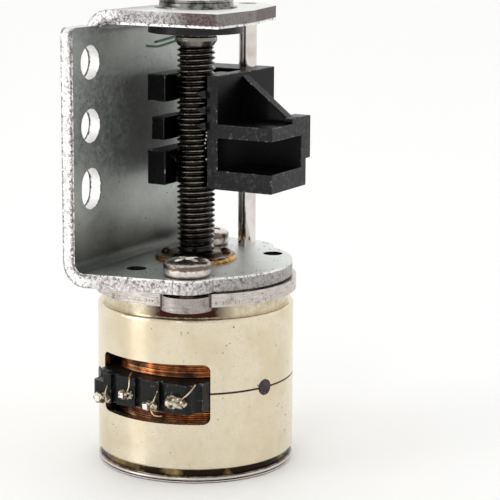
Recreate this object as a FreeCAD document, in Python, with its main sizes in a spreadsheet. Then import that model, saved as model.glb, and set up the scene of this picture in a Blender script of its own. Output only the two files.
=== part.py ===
import FreeCAD, Part
import math
import os
import re

doc = FreeCAD.newDocument("stepper_motor_with_lead_screw")

# Driving dimensions in millimetres. Z runs up the screw axis from the underside of the motor,
# X runs across the bracket and the back plate stands on the +Y side.
DIMENSIONS = {
    "case_radius": 7.5,
    "case_wall": 0.6,
    "case_lip_radius": 7.2,
    "case_foot": 0.5,
    "case_body_start": 1.0,
    "seam_level": 6.83,
    "seam_bevel": 0.06,
    "case_shoulder_level": 12.42,
    "case_neck_radius": 7.05,
    "case_ceiling": 12.1,
    "case_top": 13.4,
    "end_plate_thickness": 0.5,
    "pocket_floor": 0.25,
    "pocket_radius": 1.4,
    "sheet": 1.05,
    "motor_plate_radius": 7.7,
    "motor_plate_level": 13.4,
    "motor_plate_gap": 0.12,
    "motor_plate_lobe": 1.98,
    "motor_plate_lobe_drop": 0.3,
    "motor_plate_rest_y": -1.2,
    "flange_level": 14.5,
    "flange_front_radius": 7.4,
    "flange_taper_turn": 11.35,
    "ear_radius": 2.1,
    "plate_half_width": 9.34,
    "plate_inner_y": 4.77,
    "plate_ear_top": 33.45,
    "top_flange_level": 33.6,
    "top_flange_left": 6.1,
    "top_flange_right": 7.65,
    "top_flange_front": 5.4,
    "top_flange_clip_x": 0.82,
    "top_flange_clip_turn": 13.0,
    "top_flange_corner_x": 5.15,
    "top_flange_corner_y": -4.0,
    "top_flange_corner_turn": 45.0,
    "bend_inner": 0.75,
    "top_bend_inner": 0.9,
    "neck_radius": 0.8,
    "ear_round": 0.55,
    "plate_hole_x": 7.05,
    "plate_hole_radius": 1.27,
    "plate_hole_low": 21.49,
    "plate_hole_pitch": 4.67,
    "slot_stretch": 0.56,
    "screw_hole_x": 5.85,
    "screw_hole_y": 2.75,
    "rear_screw_x": 5.35,
    "rear_screw_y": 2.2,
    "spare_hole_radius": 0.75,
    "spare_hole_right_x": 4.47,
    "spare_hole_right_y": -4.29,
    "spare_hole_left_x": -5.67,
    "spare_hole_left_y": 1.76,
    "screw_head_radius": 1.76,
    "screw_head_height": 1.3,
    "screw_skirt_height": 0.75,
    "screw_crown_radius": 1.3,
    "screw_shank_radius": 0.8,
    "screw_hole_gap": 0.02,
    "recess_width": 0.34,
    "recess_length": 1.9,
    "recess_depth": 0.5,
    "thread_radius": 1.46,
    "thread_end": 31.8,
    "collar_radius": 1.6,
    "collar_slope": 0.4,
    "collar_end": 32.55,
    "shoulder_start": 16.25,
    "journal_radius": 1.0,
    "top_journal_radius": 0.9,
    "top_journal_end": 34.5,
    "journal_start": 1.4,
    "running_gap": 0.03,
    "bearing_flange_radius": 3.1,
    "bearing_flange_height": 0.6,
    "bearing_rim_height": 0.35,
    "bearing_slope_height": 0.15,
    "bearing_slope_radius": 2.67,
    "bearing_barrel_radius": 2.2,
    "bearing_bottom": 11.9,
    "bush_flange_radius": 3.6,
    "bush_flange_height": 0.8,
    "bush_barrel_radius": 2.0,
    "cap_base_radius": 3.1,
    "cap_base_height": 0.15,
    "cap_radius": 2.8,
    "cap_height": 0.68,
    "cap_round": 0.3,
    "rod_x": 6.44,
    "rod_y": -0.86,
    "rod_radius": 0.7,
    "rod_end": 34.5,
    "magnet_radius": 3.45,
    "magnet_bore": 1.9,
    "magnet_bottom": 2.6,
    "magnet_top": 11.0,
    "hub_collar_radius": 2.6,
    "hub_collar_height": 0.5,
    "hub_nose_radius": 1.6,
    "hub_nose_height": 0.6,
    "washer_level": 11.62,
    "washer_thickness": 0.2,
    "claw_inner_radius": 3.75,
    "claw_thickness": 0.45,
    "claw_length": 4.4,
    "claw_width": 1.7,
    "pole_plate_thickness": 0.6,
    "bobbin_inner_radius": 4.3,
    "bobbin_outer_radius": 6.75,
    "bobbin_wall": 0.3,
    "coil_radius": 6.35,
    "window_near_y": -4.72,
    "window_far_y": 4.32,
    "window_inner_x": 4.65,
    "window_bottom": 4.5,
    "window_top": 9.05,
    "window_round": 0.5,
    "terminal_outer_x": 8.05,
    "terminal_inner_x": 6.0,
    "terminal_half_width": 4.25,
    "terminal_bottom": 5.62,
    "terminal_top": 7.85,
    "terminal_groove_depth": 0.35,
    "terminal_groove_half_width": 0.25,
    "pin_pitch": 2.1,
    "pin_shift": 0.2,
    "pin_level_low": 6.05,
    "pin_level_high": 6.6,
    "pin_half_side": 0.2,
    "pin_inner_x": 7.1,
    "pin_reach": 8.75,
    "solder_radius": 0.62,
    "weld_radius": 0.6,
    "weld_thickness": 0.05,
    "weld_angle": 254.0,
    "rear_bearing_radius": 1.9,
    "rear_bearing_top": 2.0,
    "ball_radius": 0.5,
    "spring_radius": 1.2,
    "spring_thickness": 0.1,
    "slider_bottom": 21.15,
    "slider_top": 29.7,
    "slider_left_x": -0.95,
    "slider_right_x": 8.0,
    "wall_front_y": -2.4,
    "wall_back_y": -1.5,
    "nut_back_y": -0.8,
    "nut_left_x": -0.3,
    "nut_right_x": 2.2,
    "nut_gap": 0.05,
    "arm_front_y": -7.02,
    "arm_right_x": 4.6,
    "arm_wall": 0.8,
    "lower_shelf_top": 22.6,
    "upper_shelf_bottom": 25.05,
    "upper_shelf_top": 26.07,
    "tab_top": 26.45,
    "tab_bottom": 23.2,
    "tab_right_x": 5.3,
    "tab_depth": 1.4,
    "lip_left_x": 2.4,
    "lip_depth": 0.8,
    "gusset_x": 2.9,
    "gusset_thickness": 0.95,
    "gusset_margin": 0.3,
    "sleeve_left_x": 4.9,
    "spine_left_x": 3.0,
    "finger_front_y": 1.4,
    "finger_back_y": 2.95,
    "finger_middle_front_y": 1.85,
    "finger_long_x": -2.19,
    "finger_short_x": -1.62,
    "finger_top_low": 27.65,
    "finger_middle_high": 26.4,
    "finger_middle_low": 24.67,
    "finger_bottom_high": 23.96,
    "finger_bottom_low": 21.35,
    "boss_x": -0.5,
    "boss_level": 23.2,
    "boss_radius": 0.3,
    "boss_height": 0.15,
}

dims = doc.addObject("Spreadsheet::Sheet", "dims")
for row, (alias, value) in enumerate(DIMENSIONS.items(), start=1):
    dims.set("A%d" % row, alias)
    dims.set("B%d" % row, str(value))
    dims.setAlias("B%d" % row, alias)
doc.recompute()

# Length of a tool that passes right through the piece it cuts.
THROUGH = 20

FLANGE_SCREWS = (
    ("front", "-screw_hole_x", "-screw_hole_y"),
    ("rear", "rear_screw_x", "rear_screw_y"),
)
SUBPARTS = []


def bind(feature, prop, value):
    """Set a property from a number, or bind it to the sheet when the value is written in words."""
    if isinstance(value, str):
        feature.setExpression(prop, re.sub(r"[a-z][a-z_]+", r"dims.\g<0>", value))
    else:
        feature.setExpression(prop, str(value))


def place(feature, x, y, z, turn=0):
    """Stand a feature at a point, turned about Z by an angle in degrees."""
    feature.Placement = FreeCAD.Placement(
        FreeCAD.Vector(0, 0, 0), FreeCAD.Rotation(FreeCAD.Vector(0, 0, 1), 1)
    )
    bind(feature, "Placement.Base.x", x)
    bind(feature, "Placement.Base.y", y)
    bind(feature, "Placement.Base.z", z)
    bind(feature, "Placement.Rotation.Angle", turn)


def cylinder(name, radius, height, x=0, y=0, z=0):
    feature = doc.addObject("Part::Cylinder", name)
    bind(feature, "Radius", radius)
    bind(feature, "Height", height)
    place(feature, x, y, z)
    return feature


def cone(name, radius_low, radius_high, height, x=0, y=0, z=0):
    feature = doc.addObject("Part::Cone", name)
    bind(feature, "Radius1", radius_low)
    bind(feature, "Radius2", radius_high)
    bind(feature, "Height", height)
    place(feature, x, y, z)
    return feature


def box(name, x, y, z):
    """A box from (low, high) pairs on each axis."""
    feature = doc.addObject("Part::Box", name)
    bind(feature, "Length", "(%s) - (%s)" % (x[1], x[0]))
    bind(feature, "Width", "(%s) - (%s)" % (y[1], y[0]))
    bind(feature, "Height", "(%s) - (%s)" % (z[1], z[0]))
    place(feature, x[0], y[0], z[0])
    return feature


def trim(name, x, y, heading, z):
    """A block that takes off everything left of an upright plane through a point, at a heading."""
    half_length = THROUGH / 2
    feature = doc.addObject("Part::Box", name)
    bind(feature, "Length", THROUGH)
    bind(feature, "Width", half_length)
    bind(feature, "Height", "(%s) - (%s)" % (z[1], z[0]))
    back_x = -half_length * math.cos(math.radians(heading))
    back_y = -half_length * math.sin(math.radians(heading))
    place(feature, "%s + %f" % (x, back_x), "%s + %f" % (y, back_y), z[0], heading)
    return feature


def cross_cylinder(name, radius, length, axis, x, y, z):
    """A cylinder that lies along X or Y, starting at the given point."""
    feature = doc.addObject("Part::Cylinder", name)
    bind(feature, "Radius", radius)
    bind(feature, "Height", length)
    turn_axis = FreeCAD.Vector(0, 1, 0) if axis == "X" else FreeCAD.Vector(-1, 0, 0)
    feature.Placement = FreeCAD.Placement(
        FreeCAD.Vector(0, 0, 0), FreeCAD.Rotation(turn_axis, 90)
    )
    bind(feature, "Placement.Base.x", x)
    bind(feature, "Placement.Base.y", y)
    bind(feature, "Placement.Base.z", z)
    return feature


def fuse(name, *shapes):
    if len(shapes) == 1:
        return shapes[0]
    feature = doc.addObject("Part::MultiFuse", name)
    feature.Shapes = list(shapes)
    feature.Refine = True
    return feature


def cut(name, base, *tools):
    feature = doc.addObject("Part::Cut", name)
    feature.Base = base
    feature.Tool = fuse(name + "_tools", *tools)
    feature.Refine = True
    return feature


def common(name, first, second):
    feature = doc.addObject("Part::Common", name)
    feature.Base = first
    feature.Tool = second
    return feature


def fillet(name, base, radius, wanted):
    """Round every edge that the wanted() test accepts."""
    doc.recompute()
    feature = doc.addObject("Part::Fillet", name)
    feature.Base = base
    picks = [i for i, edge in enumerate(base.Shape.Edges, start=1) if wanted(edge)]
    feature.Edges = [(i, radius, radius) for i in picks]
    return feature


def group(name, *pieces):
    """Separate identical pieces kept as one sub-part."""
    feature = doc.addObject("Part::Compound", name)
    feature.Links = list(pieces)
    return feature


def subpart(label, feature):
    feature.Label = label
    SUBPARTS.append((label, feature))
    return feature


def at_level(level, radius=None):
    """An edge test: circular edges at one height, and of one radius if it is given."""
    def test(edge):
        box_of_edge = edge.BoundBox
        flat = abs(box_of_edge.ZMin - level) < 0.02 and abs(box_of_edge.ZMax - level) < 0.02
        is_circle = hasattr(edge.Curve, "Radius")
        if not (flat and is_circle):
            return False
        return radius is None or abs(edge.Curve.Radius - radius) < 0.02
    return test


def upright_at(points):
    """An edge test: upright straight edges that stand on one of the given XY points."""
    def test(edge):
        b = edge.BoundBox
        upright = b.XLength < 0.01 and b.YLength < 0.01 and b.ZLength > 0.3
        near = any(math.hypot(b.XMin - x, b.YMin - y) < 0.05 for x, y in points)
        return upright and near
    return test


def make_bracket():
    """U-shaped sheet bracket: bottom flange, back plate and top flange joined by round bends."""
    lower = ("flange_level", "flange_level + sheet")
    disc = cylinder("flange_disc", "flange_front_radius", "sheet", z="flange_level")
    screw_ear = cylinder(
        "flange_screw_ear", "ear_radius", "sheet", "-screw_hole_x", "-screw_hole_y", "flange_level"
    )
    rod_ear = cylinder("flange_rod_ear", "ear_radius", "sheet", "rod_x", "rod_y", "flange_level")
    web_left = box(
        "flange_web_left",
        ("-plate_half_width", "0"),
        ("-screw_hole_y - ear_radius", "plate_inner_y - bend_inner"),
        lower,
    )
    web_right = box(
        "flange_web_right", ("0", "rod_x + ear_radius"), ("rod_y", "plate_inner_y - bend_inner"), lower
    )
    neck = box(
        "flange_neck",
        ("0", "plate_half_width"),
        ("plate_inner_y - bend_inner - neck_radius", "plate_inner_y - bend_inner"),
        lower,
    )
    neck_cut = cylinder(
        "neck_cut", "neck_radius", "sheet * 3",
        "plate_half_width", "plate_inner_y - bend_inner - neck_radius", "flange_level - sheet",
    )
    # The left side tapers from the full width of the plate to touch the screw ear.
    taper = 90 + DIMENSIONS["flange_taper_turn"]
    touch_x = -math.sin(math.radians(taper))
    touch_y = math.cos(math.radians(taper))
    left_taper = trim(
        "flange_left_taper",
        "-screw_hole_x + ear_radius * %f" % touch_x,
        "-screw_hole_y + ear_radius * %f" % touch_y,
        taper,
        ("flange_level - sheet", "flange_level + sheet * 2"),
    )
    left_corner = box(
        "flange_left_corner",
        ("-plate_half_width - 1", "-screw_hole_x"),
        ("-screw_hole_y - ear_radius - 1", "-screw_hole_y"),
        ("flange_level - sheet", "flange_level + sheet * 2"),
    )
    left_web = cut("flange_left_web", web_left, left_taper, left_corner)
    bottom_flange = cut(
        "bottom_flange", fuse("flange_outline", disc, screw_ear, rod_ear, left_web, web_right, neck),
        neck_cut,
    )

    # Bends are quarter rings around an axis along X.
    width = "plate_half_width * 2"
    low_bend_y = "plate_inner_y - bend_inner"
    low_bend_z = "flange_level + sheet + bend_inner"
    low_outer = cross_cylinder(
        "low_bend_outer", "bend_inner + sheet", width, "X", "-plate_half_width", low_bend_y, low_bend_z
    )
    low_inner = cross_cylinder(
        "low_bend_inner", "bend_inner", width, "X", "-plate_half_width", low_bend_y, low_bend_z
    )
    low_quarter = box(
        "low_bend_quarter",
        ("-plate_half_width", "plate_half_width"),
        (low_bend_y, "plate_inner_y + sheet"),
        ("flange_level", low_bend_z),
    )
    low_bend = common("low_bend", cut("low_bend_ring", low_outer, low_inner), low_quarter)

    top_width = "top_flange_left + top_flange_right"
    top_bend_y = "plate_inner_y - top_bend_inner"
    top_bend_z = "top_flange_level - top_bend_inner"
    top_outer = cross_cylinder(
        "top_bend_outer", "top_bend_inner + sheet", top_width, "X",
        "-top_flange_left", top_bend_y, top_bend_z,
    )
    top_inner = cross_cylinder(
        "top_bend_inner_round", "top_bend_inner", top_width, "X",
        "-top_flange_left", top_bend_y, top_bend_z,
    )
    top_quarter = box(
        "top_bend_quarter",
        ("-top_flange_left", "top_flange_right"),
        (top_bend_y, "plate_inner_y + sheet"),
        (top_bend_z, "top_flange_level + sheet"),
    )
    top_bend = common("top_bend", cut("top_bend_ring", top_outer, top_inner), top_quarter)

    plate_lower = box(
        "plate_lower",
        ("-plate_half_width", "plate_half_width"),
        ("plate_inner_y", "plate_inner_y + sheet"),
        (low_bend_z, top_bend_z),
    )
    # The plate keeps short ears beside the top bend.
    ear_left = box(
        "plate_ear_left",
        ("-plate_half_width", "-top_flange_left"),
        ("plate_inner_y", "plate_inner_y + sheet"),
        (top_bend_z, "plate_ear_top"),
    )
    ear_right = box(
        "plate_ear_right",
        ("top_flange_right", "plate_half_width"),
        ("plate_inner_y", "plate_inner_y + sheet"),
        (top_bend_z, "plate_ear_top"),
    )

    top_z = ("top_flange_level", "top_flange_level + sheet")
    top_plate = box(
        "top_plate",
        ("-top_flange_left", "top_flange_right"),
        ("-top_flange_front", top_bend_y),
        top_z,
    )
    above_and_below = ("top_flange_level - sheet", "top_flange_level + sheet * 2")
    clip = trim(
        "top_flange_clip", "-top_flange_clip_x", "-top_flange_front",
        180 + DIMENSIONS["top_flange_clip_turn"], above_and_below,
    )
    corner = trim(
        "top_flange_corner", "top_flange_corner_x", "top_flange_corner_y",
        180 + DIMENSIONS["top_flange_corner_turn"], above_and_below,
    )
    top_flange = cut("top_flange", top_plate, clip, corner)

    sheet_body = fuse(
        "bracket_sheet", bottom_flange, low_bend, plate_lower, ear_left, ear_right, top_bend, top_flange
    )

    holes = []
    for side, sign in (("left", "-"), ("right", "")):
        for step in range(1, 3):
            holes.append(cross_cylinder(
                "plate_hole_%s_%d" % (side, step), "plate_hole_radius", "sheet * 3", "Y",
                sign + "plate_hole_x", "plate_inner_y - sheet",
                "plate_hole_low + plate_hole_pitch * %d" % step,
            ))
        for end, shift in (("low", "-"), ("high", "+")):
            holes.append(cross_cylinder(
                "plate_slot_%s_%s" % (side, end), "plate_hole_radius", "sheet * 3", "Y",
                sign + "plate_hole_x", "plate_inner_y - sheet",
                "plate_hole_low %s slot_stretch / 2" % shift,
            ))
        slot_x = "plate_hole_x" if sign == "" else "-plate_hole_x"
        holes.append(box(
            "plate_slot_middle_" + side,
            (slot_x + " - plate_hole_radius", slot_x + " + plate_hole_radius"),
            ("plate_inner_y - sheet", "plate_inner_y + sheet * 2"),
            ("plate_hole_low - slot_stretch / 2", "plate_hole_low + slot_stretch / 2"),
        ))
    for name, x, y in (
        ("spare_right", "spare_hole_right_x", "spare_hole_right_y"),
        ("spare_left", "spare_hole_left_x", "spare_hole_left_y"),
    ):
        holes.append(cylinder(name, "spare_hole_radius", "sheet * 3", x, y, "flange_level - sheet"))
    for name, x, y in FLANGE_SCREWS:
        holes.append(cylinder(
            "bracket_screw_hole_" + name, "screw_shank_radius + screw_hole_gap", "sheet * 3",
            x, y, "flange_level - sheet",
        ))
    holes.append(cylinder("bearing_seat", "bearing_barrel_radius", "sheet * 3", z="flange_level - sheet"))
    holes.append(cylinder("bush_seat", "bush_barrel_radius", "sheet * 3", z="top_flange_level - sheet"))
    holes.append(cylinder(
        "rod_seat_low", "rod_radius", "sheet * 3", "rod_x", "rod_y", "flange_level - sheet"
    ))
    holes.append(cylinder(
        "rod_seat_top", "rod_radius", "sheet * 3", "rod_x", "rod_y", "top_flange_level - sheet"
    ))
    drilled = cut("bracket_drilled", sheet_body, *holes)
    half_width = DIMENSIONS["plate_half_width"]
    ear_top = DIMENSIONS["plate_ear_top"]

    def ear_corner(edge):
        b = edge.BoundBox
        along_y = b.XLength < 0.01 and b.ZLength < 0.01 and b.YLength > 0.5
        return along_y and abs(abs(b.XMin) - half_width) < 0.02 and abs(b.ZMin - ear_top) < 0.02

    return subpart("bracket", fillet("bracket_rounded", drilled, DIMENSIONS["ear_round"], ear_corner))


def make_motor_flange_plate():
    """Plate on top of the motor case with a lobe, set lower, for each flange screw."""
    low = "motor_plate_level"
    top = "flange_level - motor_plate_gap"
    disc = cylinder("motor_plate_disc", "motor_plate_radius", top + " - " + low, z=low)
    # A raised pad and the left half of the rim carry the bracket; the rest of the rim has a thin gap.
    pad = cylinder("motor_plate_pad", "motor_plate_radius - 1.2", "flange_level - " + low, z=low)
    rest_disc = cylinder("motor_plate_rest_disc", "motor_plate_radius", "flange_level - " + low, z=low)
    rest_side = box(
        "motor_plate_rest_side",
        ("-motor_plate_radius - 1", "0"),
        ("motor_plate_rest_y", "motor_plate_radius"),
        (low, "flange_level"),
    )
    rest = common("motor_plate_rest", rest_disc, rest_side)
    lobes = []
    lobe_tops = []
    holes = [cylinder("motor_plate_bore", "bearing_barrel_radius", 4, z="motor_plate_level - 1")]
    for name, x, y in FLANGE_SCREWS:
        lobes.append(cylinder(
            "motor_plate_lobe_" + name, "motor_plate_lobe",
            "flange_level - motor_plate_level", x, y, "motor_plate_level - motor_plate_lobe_drop",
        ))
        lobe_tops.append(cylinder(
            "motor_plate_lobe_top_" + name, "motor_plate_lobe", 1,
            x, y, "flange_level - motor_plate_lobe_drop",
        ))
        holes.append(cylinder(
            "motor_plate_hole_" + name, "screw_shank_radius", THROUGH, x, y, 0
        ))
    plate = cut("motor_plate_stepped", fuse("motor_plate_outline", disc, rest, pad), *lobe_tops)
    # The dropped lobes stand clear of the neck of the case.
    neck = cylinder("motor_plate_neck", "case_neck_radius + 0.05", low, z=0)
    lobe_rims = cut("motor_plate_lobe_rims", fuse("motor_plate_lobes", *lobes), neck)
    whole = fuse("motor_plate", plate, lobe_rims)
    return subpart("motor_flange_plate", cut("motor_plate_cut", whole, *holes))


def make_flange_screws():
    """Two pan-head screws with a cross recess that clamp the bracket to the motor."""
    screws = []
    for name, x, y in FLANGE_SCREWS:
        top = "flange_level + sheet"
        skirt = cylinder("screw_skirt_" + name, "screw_head_radius", "screw_skirt_height", x, y, top)
        crown = cone(
            "screw_crown_" + name, "screw_head_radius", "screw_crown_radius",
            "screw_head_height - screw_skirt_height", x, y, top + " + screw_skirt_height",
        )
        shank = cylinder(
            "screw_shank_" + name, "screw_shank_radius", top + " - motor_plate_level",
            x, y, "motor_plate_level",
        )
        recess = []
        for arm in (25, 115):
            bar = doc.addObject("Part::Box", "screw_recess_%s_%d" % (name, arm))
            bind(bar, "Length", "recess_length")
            bind(bar, "Width", "recess_width")
            bind(bar, "Height", "recess_depth + 1")
            angle = math.radians(arm)
            half_length = DIMENSIONS["recess_length"] / 2
            half_width = DIMENSIONS["recess_width"] / 2
            place(
                bar,
                x + " - %f" % (half_length * math.cos(angle) - half_width * math.sin(angle)),
                y + " - %f" % (half_length * math.sin(angle) + half_width * math.cos(angle)),
                top + " + screw_head_height - recess_depth",
                arm,
            )
            recess.append(bar)
        screws.append(cut("screw_" + name, fuse("screw_solid_" + name, skirt, crown, shank), *recess))
    return subpart("flange_screws", group("flange_screw_pair", *screws))


def window_tool(name):
    """The opening in the side of the case that the terminal block sits in."""
    opening = box(
        name,
        ("-case_radius - 2", "-window_inner_x"),
        ("window_near_y", "window_far_y"),
        ("window_bottom", "window_top"),
    )

    def along_x(edge):
        b = edge.BoundBox
        return b.XLength > 1 and b.YLength < 0.01 and b.ZLength < 0.01

    return fillet(name + "_rounded", opening, DIMENSIONS["window_round"], along_x)


def claw_ring(name, low, high, start_angle):
    """Five tapered claw poles standing on a circle around the rotor."""
    height = high + " - (" + low + ")"
    ring_outer = cylinder(name + "_outer", "claw_inner_radius + claw_thickness", height, z=low)
    ring_inner = cylinder(name + "_inner", "claw_inner_radius", height, z=low)
    ring = cut(name + "_ring", ring_outer, ring_inner)
    bars = []
    half = DIMENSIONS["claw_width"] / 2
    for step in range(5):
        angle = start_angle + 72 * step
        bar = doc.addObject("Part::Box", "%s_bar_%d" % (name, step))
        bind(bar, "Length", "claw_inner_radius + claw_thickness + 1")
        bind(bar, "Width", "claw_width")
        bind(bar, "Height", height)
        place(
            bar, half * math.sin(math.radians(angle)), -half * math.cos(math.radians(angle)), low, angle
        )
        bars.append(bar)
    return common(name, ring, fuse(name + "_bars", *bars))


def make_case_lower():
    """Lower drawn cup: rolled foot, side wall bevelled at the seam, claws turned up inside."""
    foot = cylinder("lower_foot", "case_lip_radius", "case_body_start - case_foot", z="case_foot")
    wall = cylinder(
        "lower_wall", "case_radius", "seam_level - seam_bevel - case_body_start", z="case_body_start"
    )
    bevel = cone(
        "lower_seam_bevel", "case_radius", "case_radius - seam_bevel", "seam_bevel",
        z="seam_level - seam_bevel",
    )
    cavity = cylinder("lower_cavity", "case_radius - case_wall", "seam_level", z="case_foot + case_wall")
    bore = cylinder("lower_bore", "claw_inner_radius", 3, z=0)
    solid = fuse("lower_solid", foot, wall, bevel)
    cup = cut("lower_cup", solid, cavity, bore, window_tool("lower_window"))
    rounded = fillet(
        "lower_cup_rounded", cup, 0.2, at_level(DIMENSIONS["case_body_start"], DIMENSIONS["case_radius"])
    )
    claws = claw_ring("lower_cup_claws", "case_foot", "case_foot + claw_length", 0)
    return subpart("case_lower", fuse("case_lower_solid", rounded, claws))


def make_case_upper():
    """Upper drawn cup: wall from the bevelled seam to a rounded shoulder, claws turned down."""
    bevel = cone(
        "upper_seam_bevel", "case_radius - seam_bevel", "case_radius", "seam_bevel", z="seam_level"
    )
    wall = cylinder(
        "upper_wall", "case_radius", "case_shoulder_level - seam_level - seam_bevel",
        z="seam_level + seam_bevel",
    )
    neck = cylinder(
        "upper_neck", "case_neck_radius", "case_top - case_shoulder_level", z="case_shoulder_level"
    )
    cavity = cylinder(
        "upper_cavity", "case_radius - case_wall", "case_ceiling - seam_level", z="seam_level"
    )
    bore = cylinder("upper_bore", "claw_inner_radius", 3, z="case_top - 2")
    solid = fuse("upper_solid", bevel, wall, neck)
    cup = cut("upper_cup", solid, cavity, bore, window_tool("upper_window"))
    rounded = fillet(
        "upper_cup_rounded", cup, 0.25,
        at_level(DIMENSIONS["case_shoulder_level"], DIMENSIONS["case_radius"]),
    )
    claws = claw_ring("upper_cup_claws", "case_top - claw_length - case_wall", "case_top", 18)
    return subpart("case_upper", fuse("case_upper_solid", rounded, claws))


def make_pole_plates():
    """Inner pole plates, back to back at the seam, with claws that mesh with the cup claws."""
    plate_radius = "case_radius - case_wall - 0.05"
    relief = [
        box(
            side + "_plate_relief",
            ("-case_radius - 1", "-terminal_inner_x + 0.3"),
            ("window_near_y - 0.3", "window_far_y + 0.7"),
            ("window_bottom", "window_top"),
        )
        for side in ("lower", "upper")
    ]
    lower_disc = cylinder(
        "lower_plate_disc", plate_radius, "pole_plate_thickness", z="seam_level - pole_plate_thickness"
    )
    lower_bore = cylinder("lower_plate_bore", "claw_inner_radius", 4, z="seam_level - 2")
    lower_claws = claw_ring("lower_plate_claws", "seam_level - claw_length", "seam_level", 36)
    lower = fuse("lower_plate", cut("lower_plate_cut", lower_disc, lower_bore, relief[0]), lower_claws)
    subpart("pole_plate_lower", lower)
    upper_disc = cylinder("upper_plate_disc", plate_radius, "pole_plate_thickness", z="seam_level")
    upper_bore = cylinder("upper_plate_bore", "claw_inner_radius", 4, z="seam_level - 2")
    upper_claws = claw_ring("upper_plate_claws", "seam_level", "seam_level + claw_length", 54)
    upper = fuse("upper_plate", cut("upper_plate_cut", upper_disc, upper_bore, relief[1]), upper_claws)
    subpart("pole_plate_upper", upper)


def make_coil_set(side, low, high):
    """One bobbin and its winding between two levels."""
    height = "(" + high + ") - (" + low + ")"
    spool = cylinder(side + "_spool", "bobbin_outer_radius", height, z=low)
    bore = cylinder(side + "_spool_bore", "bobbin_inner_radius", height, z=low)
    groove_height = height + " - bobbin_wall * 2"
    groove_z = low + " + bobbin_wall"
    groove = cylinder(side + "_groove", "bobbin_outer_radius + 1", groove_height, z=groove_z)
    core = cylinder(side + "_core", "bobbin_inner_radius + bobbin_wall", groove_height, z=groove_z)
    ring = cut(side + "_groove_ring", groove, core)
    subpart("bobbin_" + side, cut(side + "_bobbin_cut", spool, bore, ring))
    winding = cylinder(side + "_winding", "coil_radius", groove_height, z=groove_z)
    winding_bore = cylinder(
        side + "_winding_bore", "bobbin_inner_radius + bobbin_wall", groove_height, z=groove_z
    )
    subpart("coil_" + side, cut(side + "_coil_cut", winding, winding_bore))


def make_terminal_block():
    """Black moulding in the window, ribbed on its face, with four square pins in a zigzag."""
    body = box(
        "terminal_body",
        ("-terminal_outer_x", "-terminal_inner_x"),
        ("-terminal_half_width", "terminal_half_width"),
        ("terminal_bottom", "terminal_top"),
    )
    tail = box(
        "terminal_tail",
        ("-case_radius + 0.6", "-terminal_inner_x + 0.8"),
        ("window_near_y + 0.05", "-terminal_half_width + 0.4"),
        ("terminal_bottom", "terminal_top"),
    )
    grooves = []
    for step in range(3):
        middle = "pin_shift + pin_pitch * %d" % (step - 1)
        grooves.append(box(
            "terminal_groove_%d" % step,
            ("-terminal_outer_x - 1", "-terminal_outer_x + terminal_groove_depth"),
            (middle + " - terminal_groove_half_width", middle + " + terminal_groove_half_width"),
            ("terminal_bottom - 1", "terminal_top + 1"),
        ))
    low_end = box(
        "terminal_low_end",
        ("-terminal_outer_x - 1", "-terminal_inner_x - 0.9"),
        ("terminal_half_width - 1", "terminal_half_width + 1"),
        ("terminal_top - 0.6", "terminal_top + 1"),
    )
    coil_clearance = cylinder("terminal_coil_clearance", "case_radius - case_wall", 6, z=4)
    block = cut("terminal_block_cut", fuse("terminal_solid", body, tail), coil_clearance, low_end, *grooves)
    points = [
        (-DIMENSIONS["terminal_outer_x"], sign * DIMENSIONS["terminal_half_width"]) for sign in (-1, 1)
    ]
    rounded = fillet("terminal_block_rounded", block, 0.5, upright_at(points))
    pins = []
    joints = []
    holes = []
    for step in range(4):
        y = "pin_shift + pin_pitch * %.1f" % (step - 1.5)
        level = "pin_level_high" if step % 2 == 0 else "pin_level_low"
        limits = (
            ("-pin_reach", "-pin_inner_x"),
            (y + " - pin_half_side", y + " + pin_half_side"),
            (level + " - pin_half_side", level + " + pin_half_side"),
        )
        pins.append(box("pin_%d" % step, *limits))
        holes.append(box("pin_hole_%d" % step, *limits))
        ball = doc.addObject("Part::Sphere", "solder_ball_%d" % step)
        bind(ball, "Radius", "solder_radius")
        place(ball, "-terminal_outer_x - 0.05", y, level)
        keep = box(
            "solder_keep_%d" % step,
            ("-terminal_outer_x - 2", "-terminal_outer_x"),
            (y + " - solder_radius", y + " + solder_radius"),
            (level + " - solder_radius", level + " + solder_radius"),
        )
        pin_core = box("solder_core_%d" % step, *limits)
        joints.append(cut("solder_%d" % step, common("solder_cap_%d" % step, ball, keep), pin_core))
    subpart("terminal_block", cut("terminal_block_drilled", rounded, *holes))
    subpart("terminal_pins", group("terminal_pin_set", *pins))
    subpart("solder_joints", group("solder_joint_set", *joints))


def make_seam_welds():
    """Three flat weld nuggets across the seam, evenly spaced."""
    welds = []
    for step in range(3):
        angle = DIMENSIONS["weld_angle"] + 120 * step
        disc = doc.addObject("Part::Cylinder", "weld_disc_%d" % step)
        bind(disc, "Radius", "weld_radius")
        bind(disc, "Height", 2)
        outward = FreeCAD.Vector(math.cos(math.radians(angle)), math.sin(math.radians(angle)), 0)
        turn = FreeCAD.Rotation(FreeCAD.Vector(0, 0, 1), outward)
        inset = DIMENSIONS["case_radius"] - 1
        disc.Placement = FreeCAD.Placement(
            FreeCAD.Vector(outward.x * inset, outward.y * inset, DIMENSIONS["seam_level"]), turn
        )
        skin_outer = cylinder(
            "weld_skin_outer_%d" % step, "case_radius + weld_thickness", 4, z="seam_level - 2"
        )
        skin_inner = cylinder("weld_skin_inner_%d" % step, "case_radius", 4, z="seam_level - 2")
        skin = cut("weld_skin_%d" % step, skin_outer, skin_inner)
        welds.append(common("weld_%d" % step, disc, skin))
    return subpart("seam_welds", group("seam_weld_set", *welds))


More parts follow.
